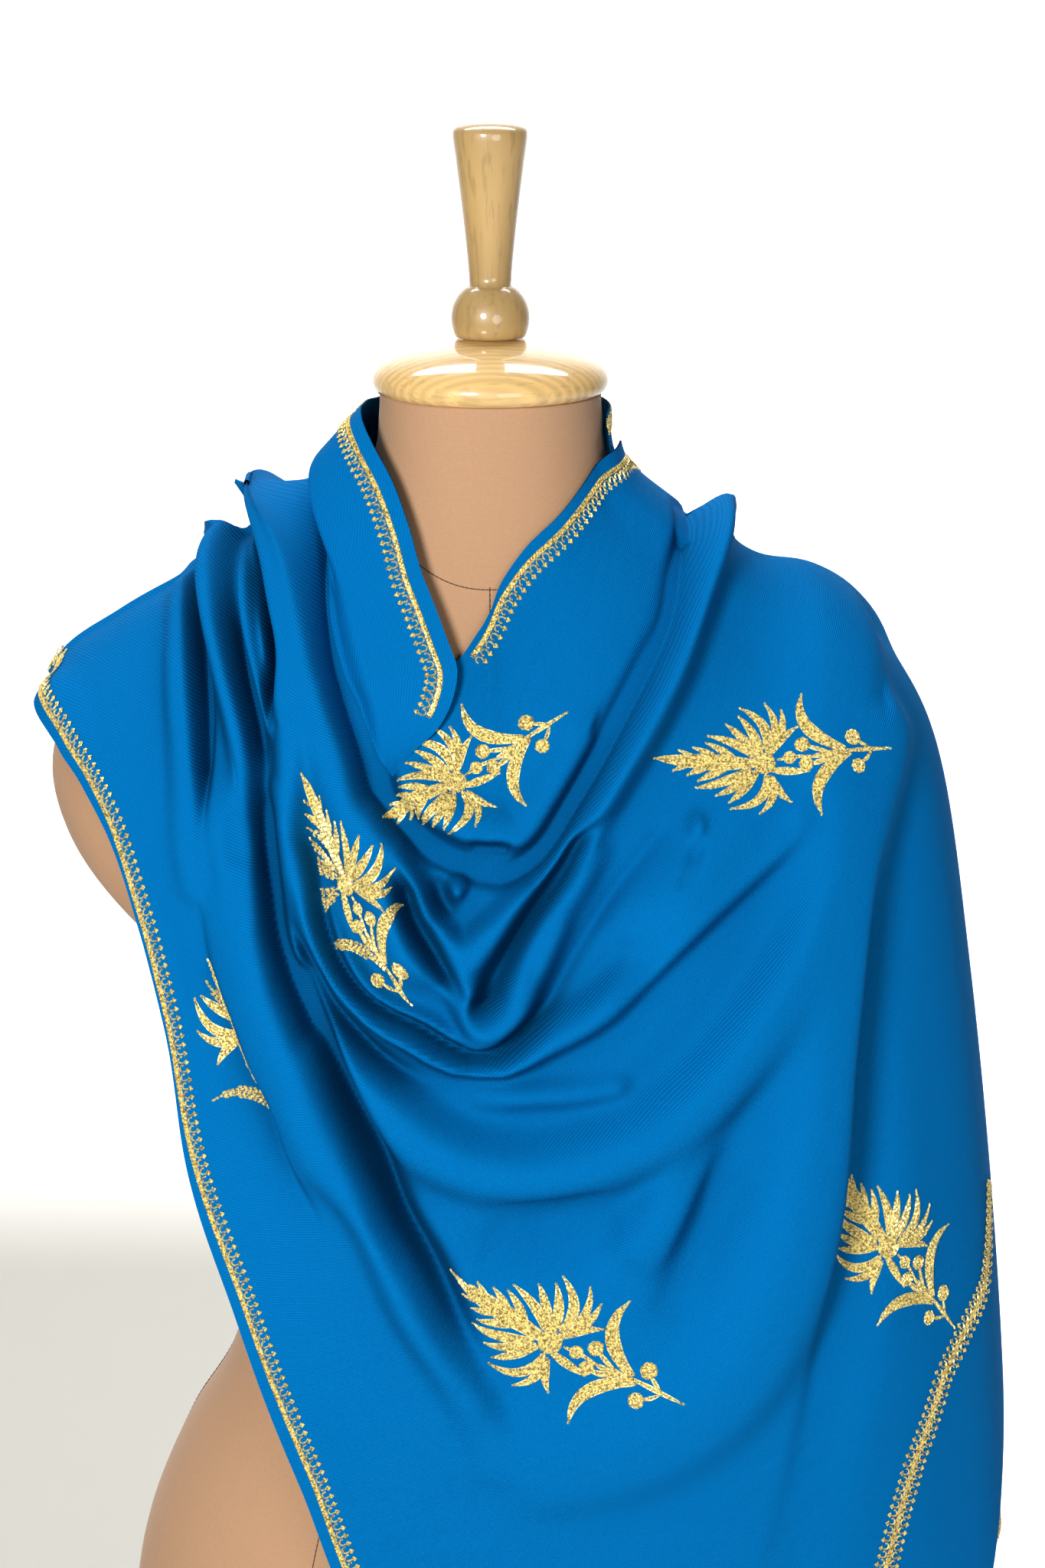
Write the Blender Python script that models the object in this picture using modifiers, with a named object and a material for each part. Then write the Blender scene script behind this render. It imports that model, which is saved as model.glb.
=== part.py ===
"""Pashmina shawl draped on a limbless tailor's dress form, built in metres with +Z up.

The form faces -Y and its centre line is the Z axis; the floor is z = 0.
Both the form and the shawl are ring surfaces: each ring goes once round the body, dips at the
chest and the back, and is named by its sizes at the sides, the front and the back.
The shawl is one long stole. Its first end lies under the front of the right shoulder, it goes
round the nape, is gathered on the left shoulder, swags across the chest and goes back over
the right shoulder, where its second end hangs down. Each stretch that shows is one wall.
Left and right are as seen from the front: left is -X.
"""
import math

import bmesh
import bpy
import numpy as np
from mathutils import Vector
from mathutils.bvhtree import BVHTree

MM = 0.001

# ---------------------------------------------------------------- driving sizes, in millimetres
CLOTH_WALL = 1.5          # the shawl's wall
STEEPEST = 0.5            # the wall's inward depth is worked out up to this cosine of its slope
SEAM_GAP = 0.35           # between stretches of the shawl where they meet
SEAT_GAP = 0.35           # between stacked hard pieces
FORM_CLEARANCE = 0.8      # least room between the shawl's wall and the form
LAYER_GAP = 0.9           # least room between one layer of the shawl and the next
LAYER_STEP = 4.4          # from one layer of cloth to the layer on it
LEAST_REACH = 9.0         # a crease is at least this wide on each hand
LEAST_WIDTH = 7.5         # finer creases are left to the cloth's surface
UNDERLAP = (0.25, 0.55)   # angles, in radians, between which the front rises over the first end
LAPEL_LIFT = (-3.0, 9.0)  # how far the neck panel stands off in its arm side's crease and beyond
LAPEL_ROLL = 0.38         # share of the neck panel's width in which it rises out of that crease
LAPEL_RISE = (-0.1, 0.15) # shares of its length over which it comes to stand off
FRONT_NET = (48, 50)      # columns and rows of each stretch's net
BACK_NET = (26, 20)
END_NET = (10, 18)
LAPEL_NET = (16, 8)
SETTLE_ROUNDS = 8
UNDER_REACH = 20.0        # how deep under a seat a point may be and still be lifted off it
EDGE_REACH = 6.0          # how far beside a seat's edge a point still counts as over it
CELL_SAMPLES = 5          # a cell of a net is tried at this many steps each way

TORSO_FOOT = 752.0
POLE_RADIUS = 12.5
BASE_RADIUS = 170.0
BASE_HEIGHT = 22.0

CAP_RADIUS = 58.5
CAP_RIM_HEIGHT = 6.0
CAP_HEIGHT = 27.0
BALL_RADIUS = 19.5
HANDLE_NECK_RADIUS = 10.3
HANDLE_TOP_RADIUS = 18.4
FINIAL_HEIGHT = 106.0

# ------------------------------------------------------------------------------- ring tables
# Each ring: half width on the right and on the left, height at the sides,
# depth and height at the front, depth and height at the back.
FORM_RINGS = (
    # right, left, side_z, front, front_z, back, back_z
    (54.6, 54.6, 1458.0, 54.6, 1458.0, 54.6, 1458.0),
    (55.0, 55.0, 1448.0, 55.0, 1440.0, 55.5, 1448.0),
    (57.0, 57.0, 1430.0, 60.0, 1405.0, 60.0, 1430.0),
    (66.0, 66.0, 1412.0, 70.0, 1366.0, 70.0, 1405.0),
    (96.0, 96.0, 1388.0, 86.0, 1326.0, 84.0, 1372.0),
    (138.0, 138.0, 1361.0, 101.0, 1280.0, 94.0, 1322.0),
    (176.0, 178.0, 1338.0, 112.0, 1240.0, 100.0, 1275.0),
    (204.0, 206.0, 1312.0, 119.0, 1208.0, 103.0, 1228.0),
    (219.0, 220.0, 1276.0, 123.0, 1182.0, 104.0, 1196.0),
    (214.0, 214.0, 1244.0, 125.0, 1164.0, 104.0, 1172.0),
    (197.0, 197.0, 1222.0, 126.0, 1150.0, 103.0, 1154.0),
    (170.0, 170.0, 1204.0, 126.0, 1136.0, 102.0, 1138.0),
    (157.0, 157.0, 1168.0, 122.0, 1112.0, 99.0, 1114.0),
    (142.0, 142.0, 1100.0, 106.0, 1070.0, 91.0, 1070.0),
    (122.0, 122.0, 1015.0, 96.0, 1010.0, 85.0, 1010.0),
    (135.0, 135.0, 958.0, 102.0, 956.0, 96.0, 956.0),
    (159.0, 159.0, 917.0, 111.0, 915.0, 111.0, 915.0),
    (179.0, 179.0, 868.0, 117.0, 868.0, 122.0, 868.0),
    (187.0, 187.0, 820.0, 117.0, 820.0, 124.0, 820.0),
    (183.0, 183.0, 775.0, 113.0, 775.0, 119.0, 775.0),
    (176.0, 176.0, 757.0, 107.0, 757.0, 113.0, 757.0),
    (166.0, 166.0, 752.0, 99.0, 752.0, 104.0, 752.0),
)
CLOTH_RINGS = (
    # right, left, side_z, front, front_z, back, back_z
    (58.5, 58.5, 1452.0, 60.0, 1412.0, 60.0, 1452.0),
    (64.0, 84.0, 1422.0, 72.0, 1374.0, 71.0, 1420.0),
    (92.0, 99.0, 1397.0, 89.0, 1332.0, 87.0, 1384.0),
    (132.0, 143.0, 1370.0, 106.0, 1285.0, 98.0, 1338.0),
    (170.0, 184.0, 1347.0, 120.0, 1240.0, 106.0, 1290.0),
    (200.0, 218.0, 1320.0, 135.0, 1192.0, 112.0, 1240.0),
    (222.0, 226.0, 1270.0, 145.0, 1135.0, 115.0, 1180.0),
    (238.0, 226.0, 1170.0, 150.0, 1065.0, 116.0, 1095.0),
    (252.0, 236.0, 1050.0, 150.0, 980.0, 116.0, 990.0),
    (262.0, 240.0, 925.0, 148.0, 880.0, 126.0, 890.0),
    (272.0, 240.0, 725.0, 146.0, 715.0, 134.0, 735.0),
)
FORM_FULLNESS = 2.25      # 2 is an ellipse in plan, more is squarer
CLOTH_FULLNESS = 2.3
DIP_POWER = 2.0           # how a ring falls from its side height to its front or back height

# ----------------------------------------------------------------------- edges of the stretches
# Paths are (x, z) in front view, on the cloth's ring surface, from the left to the right.
# RIDGE in place of a height marks a point on the shoulder's top line.
RIDGE = 1500
FRONT_TOP = ((-80, RIDGE), (-78, 1390), (-72, 1372), (-62, 1356), (-42, 1338), (-22, 1336), (-5, 1355),
             (7, 1378), (18, 1393), (37, 1410), (49, 1424), (60, RIDGE))
FRONT_FOOT = ((-220, RIDGE), (-207, 1288), (-186, 1256), (-169, 1210), (-158, 1165), (-148, 1100),
              (-124, 1023), (-94, 939), (-72, 880), (-20, 806), (60, 762), (140, 742), (213, 741))
# The front ends on the right at angle 0, and from this ring down it draws in to the corner.
DRAW_IN_FROM = 8.5
DRAW_IN_POWER = 1.6
NAPE_RING = 0.02          # the ring that the nape's edge follows
FIRST_END_RING = 9.3      # the ring down to which the first end hangs
END_FOOT = ((360.0, 8.55), (358.0, 8.57), (355.0, 8.6))    # degrees and ring
NAPE_SPOTS = 5
END_TOP = ((60, RIDGE), (56, 1410), (50, 1360), (42, 1300))
LAPEL_NECK_SIDE = ((-58.5, RIDGE), (-52, 1437), (-45, 1424), (-38, 1405), (-30, 1376), (-19, 1349),
                   (-15, 1338), (-17, 1326), (-24, 1312), (-38, 1297), (-47, 1288))
LAPEL_ARM_SIDE = ((-81, RIDGE), (-83, 1390), (-80, 1378), (-78, 1360), (-74, 1345), (-69, 1332),
                  (-64, 1320), (-60, 1311), (-56, 1303), (-53, 1296), (-50, 1291))
BACK_FOOT = ((-220, RIDGE), (-200, 1270), (-180, 1215), (-155, 1140), (-122, 1060), (-80, 980),
             (-20, 910), (60, 868), (140, 856), (215, 868))


def ring_sizes(rings, place):
    """The seven sizes at a place down the surface, by a smooth curve through the rings."""
    rings = np.asarray(rings, float)
    last = len(rings) - 1
    place = np.clip(place, 0.0, last - 1e-9)
    row = np.floor(place).astype(int)
    f = (place - row)[..., None]
    before, here, after, beyond = (rings[np.clip(row + k, 0, last)] for k in (-1, 0, 1, 2))
    return 0.5 * (2 * here + (after - before) * f
                  + (2 * before - 5 * here + 4 * after - beyond) * f**2
                  + (3 * here - before - 3 * after + beyond) * f**3)


def ring_surface(rings, fullness, angle, place):
    """Points in metres. Angle 0 is the right side, 90 degrees the front, 180 the left side."""
    sizes = ring_sizes(rings, place)
    right, left, side_z, front, front_z, back, back_z = np.moveaxis(sizes, -1, 0)
    across = np.cos(angle)
    ahead = np.sin(angle)
    power = 2.0 / fullness
    x = np.where(across > 0, right, left) * np.sign(across) * np.abs(across)**power
    y = np.where(ahead > 0, -front, back) * np.abs(ahead)**power
    z = side_z + (np.where(ahead > 0, front_z, back_z) - side_z) * np.abs(ahead)**DIP_POWER
    return np.stack([x, y, z], -1) * MM


def cloth_surface(angle, place):
    return ring_surface(CLOTH_RINGS, CLOTH_FULLNESS, angle, place)


def cloth_normal(angle, place):
    """Outward normals of the cloth's ring surface."""
    step = 1e-3
    round_way = cloth_surface(angle + step, place) - cloth_surface(angle - step, place)
    down_way = cloth_surface(angle, place + step) - cloth_surface(angle, place - step)
    normal = np.cross(round_way, down_way)
    return normal / np.maximum(np.linalg.norm(normal, axis=-1, keepdims=True), 1e-12)


# ------------------------------------------------------------------------------------- folds
# Each fold in mm: its height over the ring surface at its start, middle and end (a hollow is
# negative, and 0 leaves the cloth as it was), how far it reaches on its left and on its right
# hand, and its path. Later ones cut into earlier ones.
FRONT_FOLDS = (
    # start, middle, end, left, right, path of (x, z)
    # the lowest swag, between the hanging left panel and the right side
    (10, 15, 7, 22, 30, ((160, RIDGE), (168, 1300), (172, 1242), (168, 1209), (163, 1171),
                         (157, 1107), (146, 1041), (128, 1003), (102, 975), (64, 956), (27, 948))),
    (4, 13, 8, 7, 24, ((-122, 1262), (-113, 1223), (-100, 1181), (-88, 1149), (-73, 1116),
                       (-56, 1074), (-35, 1032), (-15, 990), (8, 956))),
    (0, -5, 0, 10, 16, ((-150, 1260), (-137, 1211), (-124, 1174), (-109, 1124), (-93, 1083),
                        (-72, 1035), (-52, 999), (-26, 970))),
    (0, -9, 0, 26, 34, ((-18, 1092), (15, 1078), (47, 1082), (75, 1098))),
    (0, 10, 0, 12, 15, ((112, 1142), (93, 1099), (76, 1064), (56, 1034))),
    (0, -5, 0, 13, 10, ((124, 1122), (108, 1080), (92, 1040), (72, 1002))),
    (-2, -5, -2, 26, 7, ((186, 1260), (184, 1214), (180, 1150), (176, 1071), (168, 1018),
                         (155, 950), (146, 897))),
    # the third swag
    (8, 17, 12, 12, 20, ((-101, 1280), (-101, 1261), (-100, 1240), (-97, 1223), (-92, 1208),
                         (-86, 1195), (-79, 1181), (-69, 1167), (-58, 1152), (-42, 1133),
                         (-20, 1117), (14, 1109), (46, 1113), (75, 1126), (98, 1142),
                         (115, 1159), (135, 1185), (157, 1220), (172, 1250), (184, 1300))),
    # the second swag, from the largest pleat to the right shoulder
    (20, 19, 10, 8, 9, ((-104, RIDGE), (-100, 1371), (-98, 1349), (-95, 1328), (-93, 1309),
                        (-93, 1290), (-93, 1265), (-91, 1248), (-87, 1234), (-82, 1221),
                        (-75, 1206), (-65, 1193), (-53, 1182), (-36, 1172), (-18, 1163),
                        (-5, 1159), (6, 1160), (22, 1166), (46, 1179), (68, 1193), (100, 1220),
                        (128, 1255), (146, 1300))),
    (0, 13, 6, 22, 16, ((48, 1186), (78, 1212), (104, 1246), (126, 1290))),
    # the first swag, whose left limb carries a sprig
    (26, 19, 17, 11, 10, ((-92, RIDGE), (-88, 1371), (-86, 1349), (-84, 1328), (-79, 1308),
                          (-70, 1297), (-62, 1283), (-53, 1266), (-46, 1248), (-39, 1231),
                          (-32, 1215), (-24, 1202), (-17, 1190), (-9, 1181), (0, 1176),
                          (7, 1179), (13, 1187), (18, 1199), (23, 1211), (30, 1224),
                          (38, 1236), (50, 1250), (63, 1264), (73, 1277), (87, 1300),
                          (101, 1330), (112, 1358), (119, RIDGE))),
    # inside it, the limb under the neckline
    (8, 19, 18, 7, 8, ((-26, 1214), (-22, 1211), (-14, 1211), (-5, 1216), (5, 1225), (16, 1237),
                       (26, 1250), (38, 1268), (50, 1288), (61, 1307), (76, 1334), (87, 1357),
                       (95, 1380), (99, RIDGE))),
    (2, 9, 4, 14, 6, ((-60, 1310), (-48, 1290), (-35, 1276), (-20, 1267), (0, 1260), (15, 1261),
                      (28, 1275), (46, 1304))),
    (0, 8, 0, 4, 5, ((-5, 1241), (-13, 1240), (-16, 1233), (-11, 1226))),
    # pleats on the left shoulder, from the arm to the neck
    (15, 11, 0, 9, 18, ((-138, RIDGE), (-148, 1368), (-151, 1348), (-149, 1320), (-146, 1280),
                        (-143, 1230))),
    (14, 15, 8, 8, 8, ((-127, RIDGE), (-132, 1374), (-131, 1355), (-126, 1334), (-120, 1311),
                       (-116, 1288), (-118, 1255))),
    (10, 12, 10, 5, 6, ((-114, RIDGE), (-115, 1369), (-113, 1348), (-109, 1325), (-104, 1309))),
    # the creases
    (-6, -9, 0, 3.5, 3.5, ((-133, RIDGE), (-141, 1371), (-142, 1361), (-140, 1343),
                           (-137, 1318), (-136, 1285), (-136, 1250))),
    (0, -10, 0, 3.5, 3.5, ((-123, 1374), (-122, 1352), (-117, 1330), (-111, 1309),
                           (-108, 1290), (-106, 1270))),
    (-4, -10, 0, 3.0, 3.0, ((-109, RIDGE), (-107, 1378), (-105, 1360), (-102, 1339),
                            (-104, 1317), (-106, 1295))),
    (-4, -12, -10, 4, 4, ((-86, RIDGE), (-83, 1392), (-80, 1372), (-76, 1352), (-72, 1336),
                          (-68, 1320), (-63, 1304), (-56, 1288))),
    (-12, -15, -6, 4.0, 5, ((-66, 1320), (-65, 1300), (-56, 1282), (-47, 1270), (-37, 1259),
                            (-24, 1253), (-12, 1247), (0, 1244), (11, 1244), (18, 1246),
                            (25, 1255), (33, 1269), (48, 1293), (61, 1313), (76, 1338),
                            (86, 1361), (92, RIDGE))),
    (0, -7, 0, 2.5, 2.5, ((-15, 1257), (-2, 1255), (8, 1254), (15, 1250))),
    (0, -8, 0, 4, 5, ((-47, 1256), (-41, 1239), (-35, 1224), (-28, 1210), (-20, 1197),
                      (-13, 1187), (-5, 1180))),
    (0, -6, 0, 4, 4, ((-24, 1249), (-24, 1238), (-19, 1228), (-10, 1221))),
    (-5, -12, -8, 6, 4, ((105, RIDGE), (102, 1366), (92, 1340), (82, 1317), (69, 1295),
                         (58, 1275), (44, 1259), (33, 1245), (24, 1231), (17, 1219),
                         (12, 1208), (5, 1197), (-1, 1187))),
    (0, -3, -1, 3.5, 3.5, ((-88, 1300), (-88, 1282), (-87, 1262), (-83, 1249), (-81, 1235),
                           (-78, 1222), (-73, 1209), (-67, 1198), (-58, 1188), (-46, 1180),
                           (-34, 1174), (-20, 1166), (-8, 1161), (2, 1162), (15, 1169),
                           (26, 1182), (36, 1198), (47, 1217), (62, 1238), (80, 1262))),
    (0, -10, 0, 3.5, 5, ((-95, 1245), (-94, 1222), (-89, 1210), (-83, 1198), (-76, 1185),
                         (-69, 1175), (-59, 1165), (-47, 1156), (-37, 1150), (-24, 1145),
                         (-4, 1142))),
    (0, 5, 4, 5, 7, ((-27, 1145), (-7, 1142), (23, 1142), (42, 1143), (60, 1145))),
    (-3, -16, -10, 4.0, 4.0, ((-109, 1300), (-109, 1286), (-108, 1271), (-106, 1251),
                              (-104, 1234), (-102, 1220), (-99, 1205), (-95, 1190),
                              (-89, 1173), (-82, 1155))),
    (-8, -18, 0, 8, 8, ((-92, 1180), (-85, 1158), (-76, 1137), (-66, 1114), (-54, 1092),
                        (-41, 1070), (-28, 1048), (-16, 1028), (-4, 1010))),
)
# At the shoulders these carry on the front's folds.
BACK_FOLDS = (
    (0, 12, 0, 24, 34, ((-150, 1200), (-100, 1090), (-30, 1010), (60, 985), (150, 1020))),
    (20, 16, 0, 9, 8, ((-104, RIDGE), (-98, 1350), (-84, 1290), (-52, 1222), (10, 1192),
                       (70, 1215))),
    (26, 17, 0, 10, 11, ((-92, RIDGE), (-82, 1355), (-60, 1308), (-18, 1270), (40, 1264),
                         (90, 1300))),
    (15, 12, 0, 18, 9, ((-138, RIDGE), (-143, 1345), (-141, 1290), (-124, 1215))),
    (14, 15, 0, 8, 8, ((-127, RIDGE), (-129, 1340), (-121, 1270), (-95, 1180), (-40, 1110))),
    (10, 12, 0, 6, 5, ((-114, RIDGE), (-111, 1350), (-99, 1285), (-68, 1205), (0, 1150),
                       (60, 1150))),
    (-6, -8, 0, 3.5, 3.5, ((-133, RIDGE), (-135, 1335), (-130, 1270), (-112, 1200))),
    (0, -8, 0, 4, 4, ((-121, 1390), (-119, 1340), (-108, 1275), (-80, 1196), (-40, 1146))),
    (-4, -9, 0, 3, 4, ((-109, RIDGE), (-103, 1345), (-88, 1285), (-52, 1214), (0, 1172))),
    (-4, -9, 0, 4, 4, ((-86, RIDGE), (-72, 1350), (-44, 1300), (0, 1285))),
)
END_FOLDS = (
    (10, 12, 5, 22, 30, ((160, RIDGE), (166, 1300), (178, 1220), (192, 1130), (206, 1040))),
    (17, 14, 0, 11, 14, ((119, RIDGE), (118, 1350), (120, 1270), (134, 1170))),
    (18, 14, 0, 7, 8, ((99, RIDGE), (98, 1350), (97, 1280), (104, 1200))),
    (-8, -8, 0, 4, 6, ((105, RIDGE), (106, 1350), (107, 1290), (116, 1210))),
    (-6, -7, 0, 4, 5, ((92, RIDGE), (90, 1350), (88, 1290), (91, 1230))),
)
SAG = 0.25                # how far a fold's crest hangs down for each unit of its height
PATH_STEPS = 33           # points on a fold's path
RIDGE_POWER = 2.3         # 2 is a domed crest, more is a flatter one with steeper sides
CREASE_POWER = 1.6        # 2 is a soft trough, less is a sharper crease


def chart_grid(back):
    """A dense net of places on one half of the cloth's ring surface."""
    half_turn = np.linspace(0.0, math.pi, 361)
    angles, places = np.meshgrid(half_turn + (math.pi if back else 0.0),
                                 np.linspace(0.0, len(CLOTH_RINGS) - 1, 401), indexing="ij")
    return angles, places, cloth_surface(angles, places)


CHARTS = {False: chart_grid(False), True: chart_grid(True)}


def chart_of(x, z, back=False):
    """Angle and place of the point that shows at (x, z) from the front or the back."""
    angles, places, points = CHARTS[back]
    if z >= RIDGE:
        row = 0 if (x > 0) != back else -1
        off = np.abs(points[row, :, 0] - x * MM)
        return np.array([angles[row, 0], places[row, int(np.argmin(off))]])
    off = (points[..., 0] - x * MM)**2 + (points[..., 2] - z * MM)**2
    spot = np.unravel_index(int(np.argmin(off)), off.shape)
    return np.array([angles[spot], places[spot]])


def smooth_path(spots, shares):
    """Places on a smooth curve through the spots, at these shares of its length."""
    spots = np.asarray(spots, float)
    points = cloth_surface(spots[:, 0], spots[:, 1])
    lengths = np.linalg.norm(np.diff(points, axis=0), axis=1)
    knots = np.concatenate([[0.0], np.cumsum(lengths)])
    along = np.asarray(shares) * knots[-1]
    slope = np.gradient(spots, knots, axis=0)
    step = np.clip(np.searchsorted(knots, along, side="right") - 1, 0, len(knots) - 2)
    span = (knots[step + 1] - knots[step])[:, None]
    f = (along - knots[step])[:, None] / span
    return ((2 * f**3 - 3 * f**2 + 1) * spots[step] + (f**3 - 2 * f**2 + f) * span * slope[step]
            + (3 * f**2 - 2 * f**3) * spots[step + 1] + (f**3 - f**2) * span * slope[step + 1])


def front_path(path):
    return [chart_of(x, z) for x, z in path]


def back_path(path):
    return [chart_of(x, z, back=True) for x, z in path]


def ease(value, low, high):
    """0 below low, 1 above high, and smooth between."""
    share = np.clip((value - low) / (high - low), 0.0, 1.0)
    return share * share * (3 - 2 * share)


def fold_height(points, normals, folds, back=False):
    """How far the folds lift each point, in metres."""
    lift = np.zeros(points.shape[:-1])
    for start, middle, end, left, right, path in folds:
        if left + right < LEAST_WIDTH:
            continue
        places = [chart_of(x, z, back) for x, z in path]
        spots = smooth_path(places, np.linspace(0, 1, PATH_STEPS))
        line = cloth_surface(spots[:, 0], spots[:, 1])
        nearest = np.full(lift.shape, np.inf)
        share = np.zeros(lift.shape)
        for index in range(len(line) - 1):
            run = line[index + 1] - line[index]
            reach = points - line[index]
            part = np.clip((reach @ run) / (run @ run), 0.0, 1.0)
            away = reach - part[..., None] * run
            hand = (np.cross(normals, run) * away).sum(-1)
            width = np.where(hand > 0, max(left, LEAST_REACH), max(right, LEAST_REACH)) * MM
            distance = np.linalg.norm(away, axis=-1) / width
            closer = distance < nearest
            nearest[closer] = distance[closer]
            share[closer] = (index + part[closer]) / (len(line) - 1)
        blend = ease(np.abs(2 * share - 1), 0.0, 1.0)
        height = middle + (np.where(share < 0.5, start, end) - middle) * blend
        highest = max(start, middle, end, key=abs)
        hold = np.clip(2 * height / highest, 0.0, 1.0)
        power = RIDGE_POWER if highest > 0 else CREASE_POWER
        lift += (height * MM - lift) * hold * np.exp(-nearest**power)
    # each place is drawn towards its neighbours, so that a crease doesn't step along the net
    lift[1:-1] = (lift[:-2] + 2 * lift[1:-1] + lift[2:]) / 4
    lift[:, 1:-1] = (lift[:, :-2] + 2 * lift[:, 1:-1] + lift[:, 2:]) / 4
    return lift


# ------------------------------------------------------------------------------ the shawl's walls
def sheet_net(top, foot, columns, rows, draw_in_from=None):
    """Angles and places of a net that fans out between a top edge and a foot edge.

    With draw_in_from, the last side keeps its top angle down to that place.
    """
    shares = np.linspace(0.0, 1.0, columns)
    top_line = smooth_path(top, shares)[:, None, :]
    foot_line = smooth_path(foot, shares)[:, None, :]
    down = np.linspace(0.0, 1.0, rows)[None, :, None]
    net = top_line + (foot_line - top_line) * down
    if draw_in_from is not None:
        side = net[-1].copy()
        share = np.clip((side[:, 1] - draw_in_from) / (side[-1, 1] - draw_in_from), 0.0, 1.0)
        side[:, 0] = side[0, 0] + (side[-1, 0] - side[0, 0]) * share**DRAW_IN_POWER
        net += (side - net[-1])[None] * (shares**2)[:, None, None]
    return net[..., 0], net[..., 1]


def wall_depth(outer, outward):
    """How far inwards the wall reaches at each point, deeper where the cloth runs steeply."""
    facing = np.cross(np.gradient(outer, axis=0), np.gradient(outer, axis=1))
    facing /= np.maximum(np.linalg.norm(facing, axis=-1, keepdims=True), 1e-12)
    slope = np.abs((facing * outward).sum(-1, keepdims=True))
    return CLOTH_WALL * MM / np.clip(slope, STEEPEST, 1.0)


def settle(outer, outward, seats):
    """Lifts a net of outer points until its wall clears the surfaces that it lies on.

    A small grid of spots in each cell of the wall's inner side is tried on each seat,
    a search tree with the gap to keep above it.
    """
    steps = np.linspace(0.0, 1.0, CELL_SAMPLES + 1)
    samples = [((1 - u) * (1 - v), (1 - u) * v, u * (1 - v), u * v) for u in steps for v in steps]
    outer = outer.copy()
    for _ in range(SETTLE_ROUNDS):
        inner = outer - outward * wall_depth(outer, outward)
        push = np.zeros(outer.shape[:2])
        for c, r in np.ndindex(outer.shape[0] - 1, outer.shape[1] - 1):
            corners = inner[c:c + 2, r:r + 2].reshape(4, 3)
            for weights in samples:
                spot = Vector(np.array(weights) @ corners)
                for tree, gap in seats:
                    seat, seat_normal, _, _ = tree.find_nearest(spot)
                    room = (spot - seat).dot(seat_normal)
                    aside = (spot - seat - seat_normal * room).length
                    if -UNDER_REACH * MM < room < gap and aside < EDGE_REACH * MM:
                        block = push[c:c + 2, r:r + 2]
                        np.maximum(block, gap - room, out=block)
        if not push.any():
            break
        outer += outward * push[..., None]
    return outer


def net_tree(net, outward):
    """A search tree of a net's outer side."""
    columns, rows = net.shape[:2]
    faces = [(c * rows + r, (c + 1) * rows + r, (c + 1) * rows + r + 1, c * rows + r + 1)
             for c in range(columns - 1) for r in range(rows - 1)]
    points = net.reshape(-1, 3)
    first = points[list(faces[0])]
    facing = np.cross(first[2] - first[0], first[3] - first[1])
    if facing @ outward[0, 0] < 0:
        faces = [tuple(reversed(face)) for face in faces]
    return BVHTree.FromPolygons([Vector(point) for point in points], faces)


def wall_object(name, outer, inner, material, parts):
    """A closed wall between a net of outer points and a net of inner ones."""
    columns, rows = outer.shape[:2]
    mesh = bmesh.new()
    sides = [[[mesh.verts.new(side[c, r]) for r in range(rows)] for c in range(columns)]
             for side in (outer, inner)]
    out_side, in_side = sides
    for c in range(columns - 1):
        for r in range(rows - 1):
            corners = ((c, r), (c + 1, r), (c + 1, r + 1), (c, r + 1))
            mesh.faces.new([out_side[i][j] for i, j in corners])
            mesh.faces.new([in_side[i][j] for i, j in reversed(corners)])
    rim = [(c, 0) for c in range(columns)] + [(columns - 1, r) for r in range(1, rows)]
    rim += [(c, rows - 1) for c in range(columns - 2, -1, -1)] + [(0, r) for r in range(rows - 2, 0, -1)]
    for here, after in zip(rim, rim[1:] + rim[:1]):
        mesh.faces.new((out_side[after[0]][after[1]], out_side[here[0]][here[1]],
                        in_side[here[0]][here[1]], in_side[after[0]][after[1]]))
    bmesh.ops.recalc_face_normals(mesh, faces=mesh.faces)
    data = bpy.data.meshes.new(name)
    mesh.to_mesh(data)
    mesh.free()
    return place_object(name, data, material, parts)


def place_object(name, data, material, parts):
    data.materials.append(material)
    data.shade_smooth()
    thing = bpy.data.objects.new(name, data)
    parts.objects.link(thing)
    return thing


def make_material(name, colour, roughness, metallic=0.0):
    material = bpy.data.materials.new(name)
    material.use_nodes = True
    shader = material.node_tree.nodes["Principled BSDF"]
    shader.inputs["Base Color"].default_value = (*colour, 1.0)
    shader.inputs["Roughness"].default_value = roughness
    shader.inputs["Metallic"].default_value = metallic
    return material


# --------------------------------------------------------------------------------- the form
def ring_solid(name, rings, fullness, turns, steps, material, parts):
    """A closed body lofted through rings, with a flat top and a flat foot."""
    angles = np.linspace(0.0, 2 * math.pi, turns, endpoint=False)
    places = np.linspace(0.0, len(rings) - 1, steps)
    net = ring_surface(rings, fullness, *np.meshgrid(angles, places, indexing="ij"))
    mesh = bmesh.new()
    loops = [[mesh.verts.new(net[t, s]) for t in range(turns)] for s in range(steps)]
    for upper, lower in zip(loops, loops[1:]):
        for t in range(turns):
            after = (t + 1) % turns
            mesh.faces.new((upper[t], upper[after], lower[after], lower[t]))
    mesh.faces.new(loops[0])
    mesh.faces.new(loops[-1])
    bmesh.ops.recalc_face_normals(mesh, faces=mesh.faces)
    data = bpy.data.meshes.new(name)
    mesh.to_mesh(data)
    mesh.free()
    return place_object(name, data, material, parts)


def turned_object(name, profile, steps, height, material, parts):
    """A profile of (radius, height) in mm, from top to bottom, turned about the Z axis."""
    data = bpy.data.meshes.new(name)
    data.from_pydata([(radius * MM, 0.0, z * MM) for radius, z in profile],
                     [(i, i + 1) for i in range(len(profile) - 1)], [])
    thing = place_object(name, data, material, parts)
    thing.location.z = height * MM
    screw = thing.modifiers.new("turned", "SCREW")
    screw.axis = "Z"
    screw.steps = steps
    screw.render_steps = steps
    screw.use_merge_vertices = True
    screw.merge_threshold = 0.00005
    screw.use_smooth_shade = True
    return thing


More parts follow.
